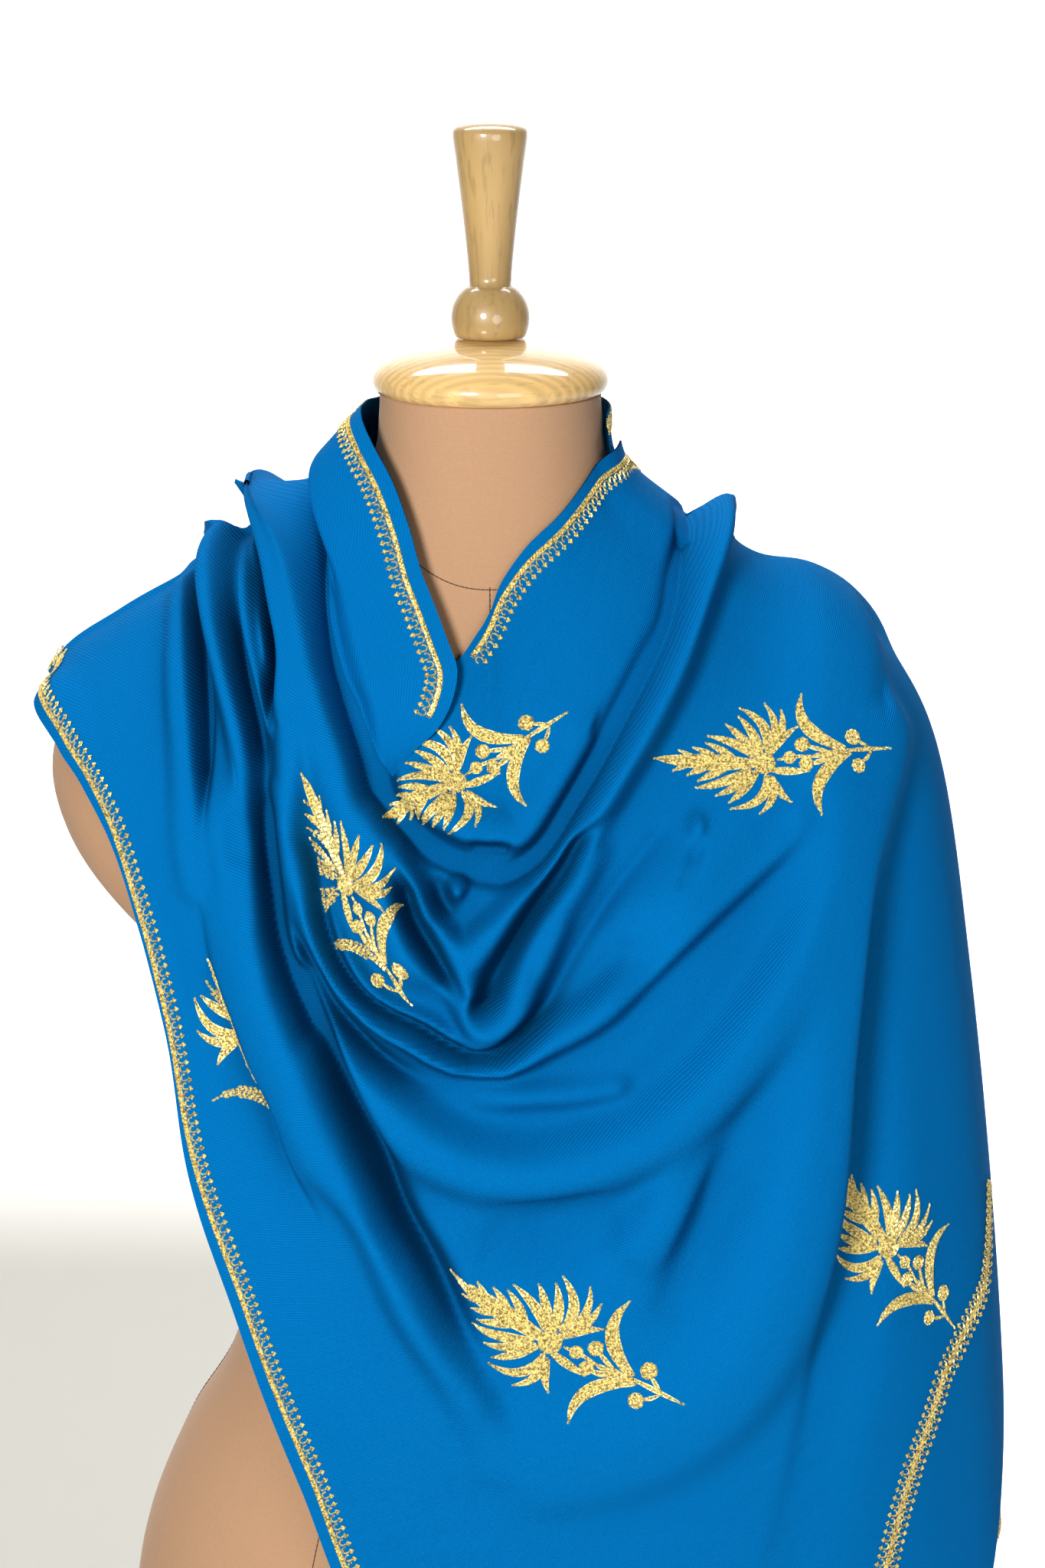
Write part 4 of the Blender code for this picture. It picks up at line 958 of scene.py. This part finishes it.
def gold_material(colour):
    """Metallised thread wound on a core: a soft metal, with painted glints as bright grains and painted
    shade as dark grains in its colour.
    """
    material, tree, shader = new_material("gilt embroidery thread",
                                          {"Metallic": 0.3, "Roughness": 0.36})
    grain = noise(tree, object_spot(tree), 900.0, 2.0)
    # painted glints and painted shade: the noise lightens the thread's colour in some grains and darkens it
    # in others
    tint = mixed(tree, spread(tree, grain, 0.36, 0.58), *shade_pair(colour, 0.32, 1.45))
    tree.links.new(tint, shader.inputs["Base Color"])
    raise_grain(tree, shader, grain, 0.5, 0.0004)
    return material


def jersey_material(colour):
    """Cotton jersey stretched round the form: matt, with fine level ribs."""
    material, tree, shader = new_material("ribbed cotton jersey", {
        "Roughness": 0.85, "Specular IOR Level": 0.25, "Sheen Weight": 0.12})
    spot = object_spot(tree)
    level = add_node(tree, "ShaderNodeSeparateXYZ", {"Vector": spot}).outputs["Z"]
    rib = reckon(tree, "SINE", reckon(tree, "MULTIPLY", level, math.tau / (JERSEY_RIB * MM)))
    share = reckon(tree, "MULTIPLY_ADD", rib, 0.2, noise(tree, spot, 700.0, 3.0))
    tree.links.new(mixed(tree, share, *shade_pair(colour, 0.9, 1.06)), shader.inputs["Base Color"])
    raise_grain(tree, shader, share, 0.25, 0.0002)
    return material


def wood_material(name, colour, centre, stretch, ring_gap):
    """Pale varnished hardwood: growth rings round a far centre, short open pores, clear gloss."""
    material, tree, shader = new_material(name, {
        "Roughness": 0.42, "Coat Weight": 1.0, "Coat Roughness": 0.06})
    placed = add_node(tree, "ShaderNodeMapping", {"Vector": object_spot(tree), "Location": centre,
                                                  "Scale": stretch}).outputs[0]
    away = add_node(tree, "ShaderNodeVectorMath", {0: placed}, operation="LENGTH").outputs["Value"]
    rings = reckon(tree, "MULTIPLY", away, math.tau / ring_gap)
    swing = reckon(tree, "MULTIPLY_ADD", noise(tree, placed, 26.0, 3.0), 9.0, rings)
    band = spread(tree, reckon(tree, "SINE", swing), -1.0, 1.0, 0.55)
    pore = spread(tree, noise(tree, placed, 420.0, 2.0), 0.36, 0.46, 0.55)
    tint = mixed(tree, reckon(tree, "MULTIPLY", band, pore), *shade_pair(colour, 0.62, 1.12))
    tree.links.new(tint, shader.inputs["Base Color"])
    return material


def paint_material(colour):
    """Black enamel on steel, satin from the spray."""
    material, tree, shader = new_material("satin enamel on steel",
                                          {"Base Color": colour, "Roughness": 0.42})
    raise_grain(tree, shader, noise(tree, object_spot(tree), 900.0, 2.0), 0.08, 0.0002)
    return material


def thread_material():
    """Spun polyester sewing thread, brown, matt."""
    return new_material("brown sewing thread",
                        {"Base Color": hex_colour("#5d4436"), "Roughness": 0.8})[0]


# ----------------------------------------------------------------------------- drape the cloth
def drape(name, net, folds, back, base_lift, seats):
    """A sheet laid on the ring surface, lifted by its folds and kept above its seats."""
    angle, place = net
    points = cloth_surface(angle, place)
    outward = cloth_normal(angle, place)
    lift = FOLD_DEPTH * blurred(fold_height(points, outward, folds, back), 1) + base_lift
    for tree, gap in seats:
        lift = rise_over(lift, floor_heights(points, outward, tree) + gap)
    down = np.array([0.0, 0.0, -1.0]) - outward * -outward[..., 2:]
    outer = points + outward * lift[..., None] + down * (SAG * np.maximum(lift, 0.0))[..., None]
    return Sheet(name, angle, place, outer)


def join_edge(sheet, places, targets, normals, reach):
    """Brings a sheet's first column onto target points, fading out over the columns next to it."""
    order = np.argsort(places)
    places, targets, normals = places[order], targets[order], normals[order]
    own = sheet.place[0]
    shift = between(own, places, targets) - sheet.outer[0]
    fade = 1 - ease(distances(sheet.hull), 0.0, reach * MM)
    brought = Sheet(sheet.name, sheet.angle, sheet.place, sheet.outer + shift * fade[..., None])
    brought.normal[0] = unit(between(own, places, normals))
    return brought


def make_form_net(turns, steps):
    angles = np.linspace(0.0, 2 * math.pi, turns, endpoint=False)
    places = np.linspace(0.0, len(FORM_RINGS) - 1, steps)
    return ring_surface(FORM_RINGS, FORM_FULLNESS, *np.meshgrid(angles, places, indexing="ij"))


def form_tree():
    net = make_form_net(*SEAT_NET)
    return net_tree(np.concatenate([net, net[:1]]))


class SHAWL_OT_drape(bpy.types.Operator):
    """Drapes the four stretches of the shawl over the form"""
    bl_idname = "shawl.drape"
    bl_label = "Drape Cloth"

    def execute(self, context):
        settings = context.scene.shawl
        wool = wool_material(settings.wool)
        wall = settings.wall
        step = LAYER_STEP * MM
        left, right = math.pi, 2 * math.pi
        form = (form_tree(), FORM_CLEARANCE * MM + wall)

        nape = [(turn, NAPE_RING) for turn in np.linspace(left, right + FIRST_END, NAPE_SPOTS)]
        foot = charted(BACK_FOOT, True) + [(right, FIRST_END_RING), (right + FIRST_END, FIRST_END_RING)]
        back = drape("back", sheet_net(nape, foot, *BACK_NET), BACK_FOLDS, True, 0.0, [form])

        net = sheet_net(charted(FRONT_TOP), charted(FRONT_FOOT), *FRONT_NET, DRAW_IN_FROM)
        over_first_end = step * (1 - ease(net[0], *UNDERLAP))
        above = LAYER_GAP * MM + wall
        front = drape("front", net, FRONT_FOLDS, False, over_first_end, [form, (back.tree, above)])

        foot = [(math.radians(turn), place) for turn, place in END_FOOT]
        net = sheet_net(charted(END_TOP, True), foot, *END_NET)
        end = drape("end", net, END_FOLDS, True, step, [form, (back.tree, above)])
        end = join_edge(end, front.place[-1], front.outer[-1], front.normal[-1], JOIN_REACH)

        net = sheet_net(charted(LAPEL_ARM_SIDE), charted(LAPEL_NECK_SIDE), *LAPEL_NET)
        along = np.linspace(0.0, 1.0, LAPEL_NET[0])[:, None]
        across = np.linspace(0.0, 1.0, LAPEL_NET[1])[None, :]
        stand = LAPEL_LIFT[0] + (LAPEL_LIFT[1] - LAPEL_LIFT[0]) * ease(across, 0.0, LAPEL_ROLL)
        stand = stand * ease(along, *LAPEL_RISE) * (1 - ease(along, *LAPEL_TIP))
        tip_gap = above + (TIP_GAP * MM - above) * ease(along, *LAPEL_MERGE)
        lapel = drape("lapel", net, (), False, stand * MM, [form, (front.tree, tip_gap)])

        places = np.concatenate([lapel.place[0], front.place[0]])
        targets = np.concatenate([lapel.outer[0], front.outer[0]])
        normals = np.concatenate([lapel.normal[0], front.normal[0]])
        back = join_edge(back, places, targets, normals, JOIN_REACH)

        for sheet in (front, back, end, lapel):
            SHEETS[sheet.name] = sheet
            thing = cloth_wall(f"cloth_{sheet.name}", sheet, wall, wool)
            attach(thing, "root")
            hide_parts(f"shawl_{sheet.name}")
        return {"FINISHED"}


# --------------------------------------------------------------------------------- embroidery
def chain_stitch():
    """One link of chain stitch: a thin teardrop loop, its point towards the next link."""
    loop = [(-1.1, 0.0), (-0.6, 0.42), (0.3, 0.52), (1.1, 0.0), (0.3, -0.52), (-0.6, -0.42)]
    vertices, count = [], len(loop)
    for x, y in loop:
        half = 0.22 / math.hypot(x, y)
        vertices += [(x + x * half, y + y * half, -0.1), (x, y, 0.36), (x - x * half, y - y * half, -0.1)]
    faces = [(3 * i + a, 3 * j + a, 3 * j + b, 3 * i + b)
             for i, j in ((i, (i + 1) % count) for i in range(count)) for a, b in ((0, 1), (1, 2), (2, 0))]
    return template("chain stitch", vertices, faces)


def fill_stitch():
    """One stitch of a filled leaf: a small ridged grain of thread."""
    rim = [(-1.3, 0.0), (-0.6, 0.62), (0.7, 0.6), (1.3, 0.0), (0.7, -0.6), (-0.6, -0.62)]
    vertices = [(x, y, -0.25) for x, y in rim] + [(-0.65, 0.0, 0.42), (0.75, 0.0, 0.36)]
    faces = [(1, 6, 0), (2, 7, 6, 1), (3, 7, 2), (4, 7, 3), (5, 6, 7, 4), (0, 6, 5), (0, 1, 2, 3, 4, 5)]
    return template("fill stitch", vertices, faces)


def bead(x, y, radius):
    """A low octahedral bead."""
    vertices = [(x + radius, y, 0), (x, y + radius, 0), (x - radius, y, 0), (x, y - radius, 0),
                (x, y, radius * 0.8), (x, y, -radius * 0.5)]
    faces = [(0, 1, 4), (1, 2, 4), (2, 3, 4), (3, 0, 4), (1, 0, 5), (2, 1, 5), (3, 2, 5), (0, 3, 5)]
    return vertices, faces


def scroll_loop(side):
    """An open C with its back to the gold line; its upper arm carries a three-lobed knob."""
    curl = [(-1.5, 3.3), (-1.75, 2.4), (-1.3, 1.4), (-0.2, 0.8), (0.9, 1.2), (1.4, 2.3), (1.2, 3.5),
            (0.9, 4.6)]
    curl = [(x, side * y, 0.0) for x, y in curl]
    beads = [bead(0.2, side * 5.1, 0.8), bead(1.6, side * 5.1, 0.8), bead(0.9, side * 6.0, 0.85)]
    vertices, faces = joined([tube(curl, 0.5)] + beads)
    return template("scroll loop", vertices, faces)


def rows_beside(sheet, spots, offsets, lifts):
    """Rows on a sheet beside a line of spots, at these distances to its left hand and lifts."""
    spots = spots[sheet.inside(spots)]
    rows = []
    for offset, lift in zip(offsets, lifts):
        points = sheet.sample(sheet.outer, spots)
        run = unit(np.gradient(points, axis=0))
        normal = sheet.upright(spots)
        aside = np.cross(normal, run)
        moved, _ = sheet.walk(spots, aside, np.full(len(spots), offset))
        up = sheet.upright(moved)
        rows.append((sheet.sample(sheet.outer, moved) + up * lift, up))
    return rows


def evenly(points, ups, steps=None):
    """A row thinned to even steps, so that crowded net lines don't make it shake."""
    run = distances(points)
    along = np.linspace(0.0, run[-1], steps or max(2, int(run[-1] / (EVEN_GAP * MM))))
    return between(along, run, points), unit(between(along, run, ups))


def border_lines(settings):
    """Every border: (sheet, spots, side of its loops); side 0 has loops on both sides."""
    margin = settings.margin
    front, back, end, lapel = (SHEETS[name] for name in ("front", "back", "end", "lapel"))
    top, neck = front.inset("top", margin), lapel.inset("foot", margin)
    band = np.array([front.find(x, z) for x, z in END_BAND])
    band = between(np.linspace(0, len(band) - 1, BAND_SPOTS), np.arange(len(band)), band)
    return [(front, top[int(len(top) * BORDER_FROM):], -1), (front, front.inset("foot", margin), 1),
            (back, back.inset("top", margin), -1), (back, back.inset("foot", margin), 1),
            (end, end.inset("top", margin), -1), (lapel, neck[:int(len(neck) * LAPEL_BORDER_TO)], -1),
            (front, band, 0)]


class SHAWL_OT_borders(bpy.types.Operator):
    """Sews the gold lines and scroll loops along the shawl's edges"""
    bl_idname = "shawl.borders"
    bl_label = "Sew Borders"

    def execute(self, context):
        settings = context.scene.shawl
        gold = gold_material(settings.gold)
        chains, loops, bands, faces = [], {1: [], -1: []}, [], []
        edge, high, low = settings.line_width, STITCH_LIFT * MM, BAND_EDGE_LIFT * MM
        half = edge / 2
        for sheet, spots, side in border_lines(settings):
            chains += [evenly(*row) for row in rows_beside(sheet, spots, (-half, half), (high, high))]
            strip = [evenly(*row, steps=len(spots))[0]
                     for row in rows_beside(sheet, spots, (-edge, 0.0, edge), (low, high, low))]
            faces.append(net_faces(3, len(strip[0]), sum(len(band) for band in bands)))
            bands.append(np.concatenate(strip))
            for hand in ((1, -1) if side == 0 else (side,)):
                row = rows_beside(sheet, spots, (hand * (half + LOOP_GAP * MM),), (high,))[0]
                loops[hand].append(evenly(*row))
        mesh = new_mesh("gold_band", np.concatenate(bands).tolist(), np.concatenate(faces).tolist())
        templates = [chain_stitch()]
        pieces = [new_object(mesh, gold),
                  sew("gold_lines", chains, templates[0], settings.stitch, gold)]
        for hand, rows in loops.items():
            templates.append(scroll_loop(hand))
            pieces.append(sew(f"scroll_loops_{'left' if hand > 0 else 'right'}", rows, templates[-1],
                              settings.loop_pitch, gold))
        for piece in pieces:
            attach(piece, "root")
        for thing in templates:
            bpy.data.objects.remove(thing, do_unlink=True)
        return {"FINISHED"}


def stroke_points(stroke, count):
    """Midline points, left-hand directions and half widths of a bent leaf, in millimetres."""
    start, bend, tip, half = stroke
    t = np.linspace(0.0, 1.0, count)[:, None]
    start, bend, tip = (np.array(p, float) for p in (start, bend, tip))
    middle = (1 - t)**2 * start + 2 * t * (1 - t) * bend + t**2 * tip
    run = unit(2 * (1 - t) * (bend - start) + 2 * t * (tip - bend))
    aside = np.stack([-run[:, 1], run[:, 0]], -1)
    t = t[:, 0]
    width = half * np.minimum(1.0, LEAF_START + LEAF_WIDENING * t)
    width = width * (1 - t**LEAF_TAPER[0])**LEAF_TAPER[1] + LEAF_RIM
    return middle, aside, width


def sprig_drawing():
    """Flat rows of stitches and ground cells of one sprig, in millimetres."""
    rows, plates = [], []
    for stroke in (*SPIRE, *LOBES, *STALKS):
        middle, aside, width = stroke_points(stroke, LEAF_SPOTS)
        most = int(width.max() / ROW_PITCH)
        for k in range(-most, most + 1):
            offset = k * ROW_PITCH
            fits = np.abs(offset) <= np.maximum(width - ROW_INSET, ROW_ROOM)
            if fits.sum() > 2:
                rows.append((middle + aside * offset)[fits])
        middle, aside, width = stroke_points(stroke, PLATE_STEPS[0] + 1)
        share = np.linspace(-1.0, 1.0, PLATE_STEPS[1] + 1)
        plates.append(middle[:, None] + aside[:, None] * (width[:, None] * share)[..., None])
    for (ahead, aside), radius in SPRIG_DISCS:
        turns = np.linspace(0, 2 * math.pi, DISC_SPOTS)
        for ring in np.arange(radius - DISC_INSET, DISC_SMALLEST, -ROW_PITCH):
            rows.append(np.stack([ahead + ring * np.cos(turns), aside + ring * np.sin(turns)], -1))
        spokes = np.linspace(0, 2 * math.pi, DISC_SPOKES)[:, None]
        reach = np.array(DISC_RINGS)[None] * radius
        plates.append(np.stack([ahead + np.cos(spokes) * reach, aside + np.sin(spokes) * reach], -1))
    return rows, plates


class SHAWL_OT_sprigs(bpy.types.Operator):
    """Embroiders the gold flower sprigs in rows of stitches on a laid ground"""
    bl_idname = "shawl.sprigs"
    bl_label = "Embroider Sprigs"

    def execute(self, context):
        gold = gold_material(context.scene.shawl.gold)
        rows, plates = sprig_drawing()
        drawn = np.concatenate([*rows, *(plate.reshape(-1, 2) for plate in plates)])
        lengths = [len(row) for row in rows] + [plate.shape[0] * plate.shape[1] for plate in plates]
        cuts = np.cumsum(lengths)[:-1]
        stitch = fill_stitch()
        grouped = {}
        for index, (name, hub, tip, size) in enumerate(SPRIGS):
            sheet, back = SHEETS[name], name != "front"
            spot = sheet.find(*hub, back)
            ahead = cloth_surface(*chart_of(*tip, back)) - cloth_surface(*chart_of(*hub, back))
            normal = sheet.upright(spot)
            spots = sheet.lay(spot, unit(ahead - normal * (ahead @ normal)), drawn * (size * MM))
            inside = sheet.inside(spots)
            rest = sheet.sample(sheet.hull, spots)
            for covered, side, edge in COVERED_SPRIGS:
                if index == covered:
                    edge = np.array(edge) * MM
                    inside &= (rest[:, 0] - np.interp(rest[:, 2], edge[:, 1], edge[:, 0])) * side > 0
            ups = sheet.upright(spots)
            points = sheet.sample(sheet.outer, spots)
            group = "front_low" if name == "front" and index >= UPPER_SPRIGS else name
            sewn, ground, faces = grouped.setdefault(group, ([], [], []))
            for part, (some, their_ups, whole) in enumerate(
                    zip(*(np.split(values, cuts) for values in (points, ups, inside)))):
                if part < len(rows):
                    some, their_ups = some[whole], their_ups[whole]
                    if len(some) > 1:
                        sewn.append((some + their_ups * (STITCH_LIFT * MM), their_ups))
                elif whole.all():
                    faces.append(net_faces(*plates[part - len(rows)].shape[:2],
                                           sum(len(plate) for plate in ground)))
                    ground.append(some + their_ups * (GROUND_LIFT * MM))
        for name, (sewn, ground, faces) in grouped.items():
            mesh = new_mesh(f"sprig_ground_{name}", np.concatenate(ground).tolist(),
                            np.concatenate(faces).tolist())
            plate = new_object(mesh, gold)
            thing = sew(f"sprig_stitches_{name}", sewn, stitch, SPRIG_STITCH * MM, gold, SPRIG_JITTER)
            for piece in (plate, thing):
                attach(piece, "root")
        bpy.data.objects.remove(stitch, do_unlink=True)
        return {"FINISHED"}


# ----------------------------------------------------------------------------------- the form
def closed_rings(name, net, material):
    """A closed body from a net that goes round, with a flat top and foot."""
    turns, steps = net.shape[:2]
    c, r = np.meshgrid(np.arange(turns), np.arange(steps - 1), indexing="ij")
    first = (c * steps + r).ravel()
    beyond = (((c + 1) % turns) * steps + r).ravel()
    faces = np.stack([first, beyond, beyond + 1, first + 1], -1).tolist()
    faces.append([c * steps for c in range(turns)][::-1])
    faces.append([c * steps + steps - 1 for c in range(turns)])
    return new_object(new_mesh(name, net.reshape(-1, 3).tolist(), faces), material)


def form_row(angles, places):
    """A row for a seam on the form: points just over it, and their normals."""
    points = ring_surface(FORM_RINGS, FORM_FULLNESS, angles, places)
    step = 1e-3
    round_way = ring_surface(FORM_RINGS, FORM_FULLNESS, angles + step, places) - points
    down_way = ring_surface(FORM_RINGS, FORM_FULLNESS, angles, places + step) - points
    normal = unit(np.cross(round_way, down_way))
    return points + normal * (SEAM_LIFT * MM), normal


class SHAWL_OT_form(bpy.types.Operator):
    """Covers the form in jersey with its sewn seams"""
    bl_idname = "shawl.form"
    bl_label = "Cover Form"

    def execute(self, context):
        settings = context.scene.dress_form
        torso = closed_rings("jersey_cover", make_form_net(*COVER_NET), jersey_material(settings.jersey))
        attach(torso, "root")
        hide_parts("form_torso")
        round_way = np.linspace(0.0, 2 * math.pi, COLLAR_SPOTS)
        rows = [form_row(round_way, np.full(COLLAR_SPOTS, COLLAR_PLACE))]
        for angle, top in COVER_SEAMS:
            places = np.linspace(top, SEAM_FOOT, SEAM_SPOTS)
            rows.append(form_row(np.full(SEAM_SPOTS, math.radians(angle)), places))
        thread = [(-1.15, 0, -0.1), (-0.5, 0, 0.1), (0.5, 0, 0.1), (1.15, 0, -0.1)]
        stitch = template("seam stitch", *tube(thread, 0.28, 4))
        seams = sew("cover_seams", rows, stitch, settings.seam_stitch, thread_material())
        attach(seams, "root")
        bpy.data.objects.remove(stitch, do_unlink=True)
        return {"FINISHED"}


def turned_object(name, profile, steps, height, material):
    """A closed profile of (radius, height) in millimetres, turned about the Z axis."""
    rim = [(r, z) for r, z in profile if r > 1e-6]
    turns = np.linspace(0, 2 * math.pi, steps, endpoint=False)
    vertices = [(r * MM * math.cos(t), r * MM * math.sin(t), (z + height) * MM)
                for t in turns for r, z in rim]
    count = len(rim)
    faces = []
    for s in range(steps):
        n = (s + 1) % steps
        for i in range(count - 1):
            faces.append((s * count + i, s * count + i + 1, n * count + i + 1, n * count + i))
    top, low = len(vertices), len(vertices) + 1
    vertices += [(0.0, 0.0, (profile[end][1] + height) * MM) for end in (0, -1)]
    for s in range(steps):
        n = (s + 1) % steps
        faces.append((top, s * count, n * count))
        faces.append((low, n * count + count - 1, s * count + count - 1))
    return new_object(new_mesh(name, vertices, faces), material)


def quarter(radius, height, rise, count):
    """Points of a quarter ellipse that bulges outwards, from its top to its widest place."""
    turns = [math.pi / 2 * i / count for i in range(count + 1)]
    return [(radius * math.sin(turn), height + rise * math.cos(turn)) for turn in turns]


def cap_profile():
    dome = quarter(CAP_RADIUS, CAP_RIM_HEIGHT, CAP_HEIGHT - CAP_RIM_HEIGHT, 24)
    rim = [(CAP_RADIUS - CAP_RIM_IN * (1 - math.cos(turn)), CAP_RIM_HEIGHT * (1 - math.sin(turn)))
           for turn in np.linspace(0.2, math.pi / 2, 6)]
    return dome + rim + [(0.0, 0.0)]


def finial_profile():
    """A shallow dome, a flared handle that narrows downwards, and a ball cut flat below."""
    dome = quarter(HANDLE_TOP_RADIUS, FINIAL_HEIGHT - HANDLE_TOP_DOME, HANDLE_TOP_DOME, 10)
    top, neck = FINIAL_HEIGHT - HANDLE_TOP_DOME - HANDLE_TOP_EDGE, BALL_HEIGHT + HANDLE_NECK_RISE
    flare = [(HANDLE_NECK_RADIUS + (HANDLE_TOP_RADIUS - HANDLE_NECK_RADIUS) * share**1.25,
              neck + (top - neck) * share) for share in np.linspace(1.0, 0.0, 16)]
    ball = [(BALL_RADIUS * math.cos(turn), BALL_HEIGHT + BALL_RADIUS * math.sin(turn))
            for turn in np.radians(np.linspace(54, -27.5, 14))]
    return dome + flare + ball + [(0.0, 0.0)]


class SHAWL_OT_woodwork(bpy.types.Operator):
    """Turns the neck cap and its finial handle"""
    bl_idname = "shawl.woodwork"
    bl_label = "Turn Woodwork"

    def execute(self, context):
        colour = context.scene.dress_form.wood
        grain = wood_material("varnished ash, flat grain", colour, (0.0, 0.32, -1.40),
                              (0.12, 1.0, 1.0), 0.0045)
        # painted shade: the finial's wood is the cap's colour darkened, for a handle that lies in less
        # light than the cap's top
        shaded_long_grain = wood_material("varnished ash, long grain", shade_pair(colour, 0.62, 1.0)[0],
                                   (0.05, 0.03, -1.5), (1.0, 1.0, 0.06), 0.006)
        seat = CAP_FOOT + CAP_HEIGHT + SEAT_GAP
        cap = turned_object("wood_cap", cap_profile(), 96, CAP_FOOT, grain)
        finial = turned_object("wood_finial", finial_profile(), 64, seat, shaded_long_grain)
        for thing, node in ((cap, "neck_cap"), (finial, "neck_finial")):
            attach(thing, "root")
            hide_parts(node)
        return {"FINISHED"}


class SHAWL_OT_stand(bpy.types.Operator):
    """Makes the painted pole and its round base"""
    bl_idname = "shawl.stand"
    bl_label = "Make Stand"

    def execute(self, context):
        paint = paint_material(context.scene.dress_form.paint)
        low, high = BASE_HEIGHT + SEAT_GAP, TORSO_FOOT - SEAT_GAP
        profile = [(0.0, high), (POLE_RADIUS, high), (POLE_RADIUS, low), (0.0, low)]
        pole = turned_object("stand_pole_tube", profile, 48, 0.0, paint)
        profile = [(0.0, BASE_HEIGHT), (BASE_SOCKET_RADIUS, BASE_HEIGHT)]
        profile += [(BASE_RADIUS - BASE_EDGE + r, BASE_HEIGHT - BASE_FALL - BASE_EDGE + z)
                    for r, z in quarter(BASE_EDGE, 0.0, BASE_EDGE, 8)]
        profile += [(BASE_RADIUS, BASE_FOOT_EDGE), (BASE_RADIUS - BASE_FOOT_EDGE, 0.0), (0.0, 0.0)]
        base = turned_object("stand_base_disc", profile, 128, 0.0, paint)
        for thing, node in ((pole, "stand_pole"), (base, "stand_base")):
            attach(thing, "root")
            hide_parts(node)
        return {"FINISHED"}


# ----------------------------------------------------------------------------------- the stage
def area_light(name, place, target, size, power):
    light = bpy.data.lights.new(name, "AREA")
    light.shape = "DISK"
    light.size = size
    light.energy = power
    thing = linked(name, light)
    thing.location = place
    thing.rotation_euler = (Vector(target) - Vector(place)).to_track_quat("-Z", "Y").to_euler()
    return thing


class SHAWL_OT_stage(bpy.types.Operator):
    """Sets up the floor, the lights and the camera"""
    bl_idname = "shawl.stage"
    bl_label = "Set Stage"

    def execute(self, context):
        paper, tree, shader = new_material("matt paper sweep, grey floor and white wall",
                                           {"Roughness": 0.95})
        # painted shade: the floor is grey on its left, fading to white towards the right and up the wall
        spot = add_node(tree, "ShaderNodeSeparateXYZ", {"Vector": object_spot(tree)}).outputs
        wall = spread(tree, spot["Y"], FLOOR_TURN, FLOOR_TURN + FLOOR_FADE,
                      interpolation_type="SMOOTHSTEP")
        clear_of_painted_shade = reckon(tree, "MAXIMUM", wall, spread(tree, spot["X"], 0.0, 0.5))
        tree.links.new(mixed(tree, clear_of_painted_shade, hex_colour("#a3a19a"), hex_colour("#f6f5f3")),
                       shader.inputs["Base Color"])
        section = [(-4.0, 0.0), (FLOOR_TURN, 0.0)]
        section += [(FLOOR_TURN + FLOOR_BEND * math.sin(t), FLOOR_BEND - FLOOR_BEND * math.cos(t))
                    for t in np.linspace(0.1, math.pi / 2, 16)]
        section += [(FLOOR_TURN + FLOOR_BEND, 5.0)]
        count = len(section)
        mesh = new_mesh("paper sweep", [(x, y, z - 0.001) for x in (-6.0, 6.0) for y, z in section],
                        [(i + count, i + 1 + count, i + 1, i) for i in range(count - 1)])
        sweep = new_object(mesh, paper)
        lights = [area_light("key", (-1.15, -3.15, 2.15), CHEST, 0.9, 130.0),
                  area_light("fill", (1.1, -3.2, 1.6), CHEST, 1.6, 28.0),
                  area_light("backdrop", (0.0, 1.4, 3.6), (0.0, 3.8, 1.2), 3.0, 230.0)]
        context.scene.view_settings.view_transform = "Standard"
        context.scene.world = world = bpy.data.worlds.new("soft room")
        world.use_nodes = True
        room = world.node_tree.nodes["Background"].inputs
        room["Color"].default_value = hex_colour("#ffffff")
        room["Strength"].default_value = 0.07
        lens = bpy.data.cameras.new("camera")
        lens.sensor_fit = "VERTICAL"
        lens.sensor_height = FRAME_HEIGHT
        lens.lens = CAMERA_LENS
        context.scene.camera = camera = linked("camera", lens)
        camera.location = CAMERA_AT
        camera.rotation_euler = (math.radians(90.0 - CAMERA_TILT), 0.0, 0.0)
        return {"FINISHED"}


OPERATORS = (SHAWL_OT_drape, SHAWL_OT_borders, SHAWL_OT_sprigs, SHAWL_OT_form, SHAWL_OT_woodwork,
             SHAWL_OT_stand, SHAWL_OT_stage)


class SHAWL_PT_panel(bpy.types.Panel):
    """Lists the pieces of the shawl and its form"""
    bl_idname = "SHAWL_PT_panel"
    bl_label = "Shawl"
    bl_space_type = "VIEW_3D"
    bl_region_type = "UI"
    bl_category = "Shawl"

    def draw(self, context):
        for settings in (context.scene.shawl, context.scene.dress_form):
            for name in settings.__annotations__:
                self.layout.prop(settings, name)
        for operator in OPERATORS:
            self.layout.operator(operator.bl_idname)


CLASSES = (ShawlSettings, FormSettings, *OPERATORS, SHAWL_PT_panel)


def register():
    for item in CLASSES:
        bpy.utils.register_class(item)
    bpy.types.Scene.shawl = bpy.props.PointerProperty(type=ShawlSettings)
    bpy.types.Scene.dress_form = bpy.props.PointerProperty(type=FormSettings)


def unregister():
    del bpy.types.Scene.dress_form
    del bpy.types.Scene.shawl
    for item in reversed(CLASSES):
        bpy.utils.unregister_class(item)


def main():
    register()
    bpy.ops.shawl.drape()
    bpy.ops.shawl.borders()
    bpy.ops.shawl.sprigs()
    bpy.ops.shawl.form()
    bpy.ops.shawl.woodwork()
    bpy.ops.shawl.stand()
    bpy.ops.shawl.stage()


if __name__ == "__main__":
    main()
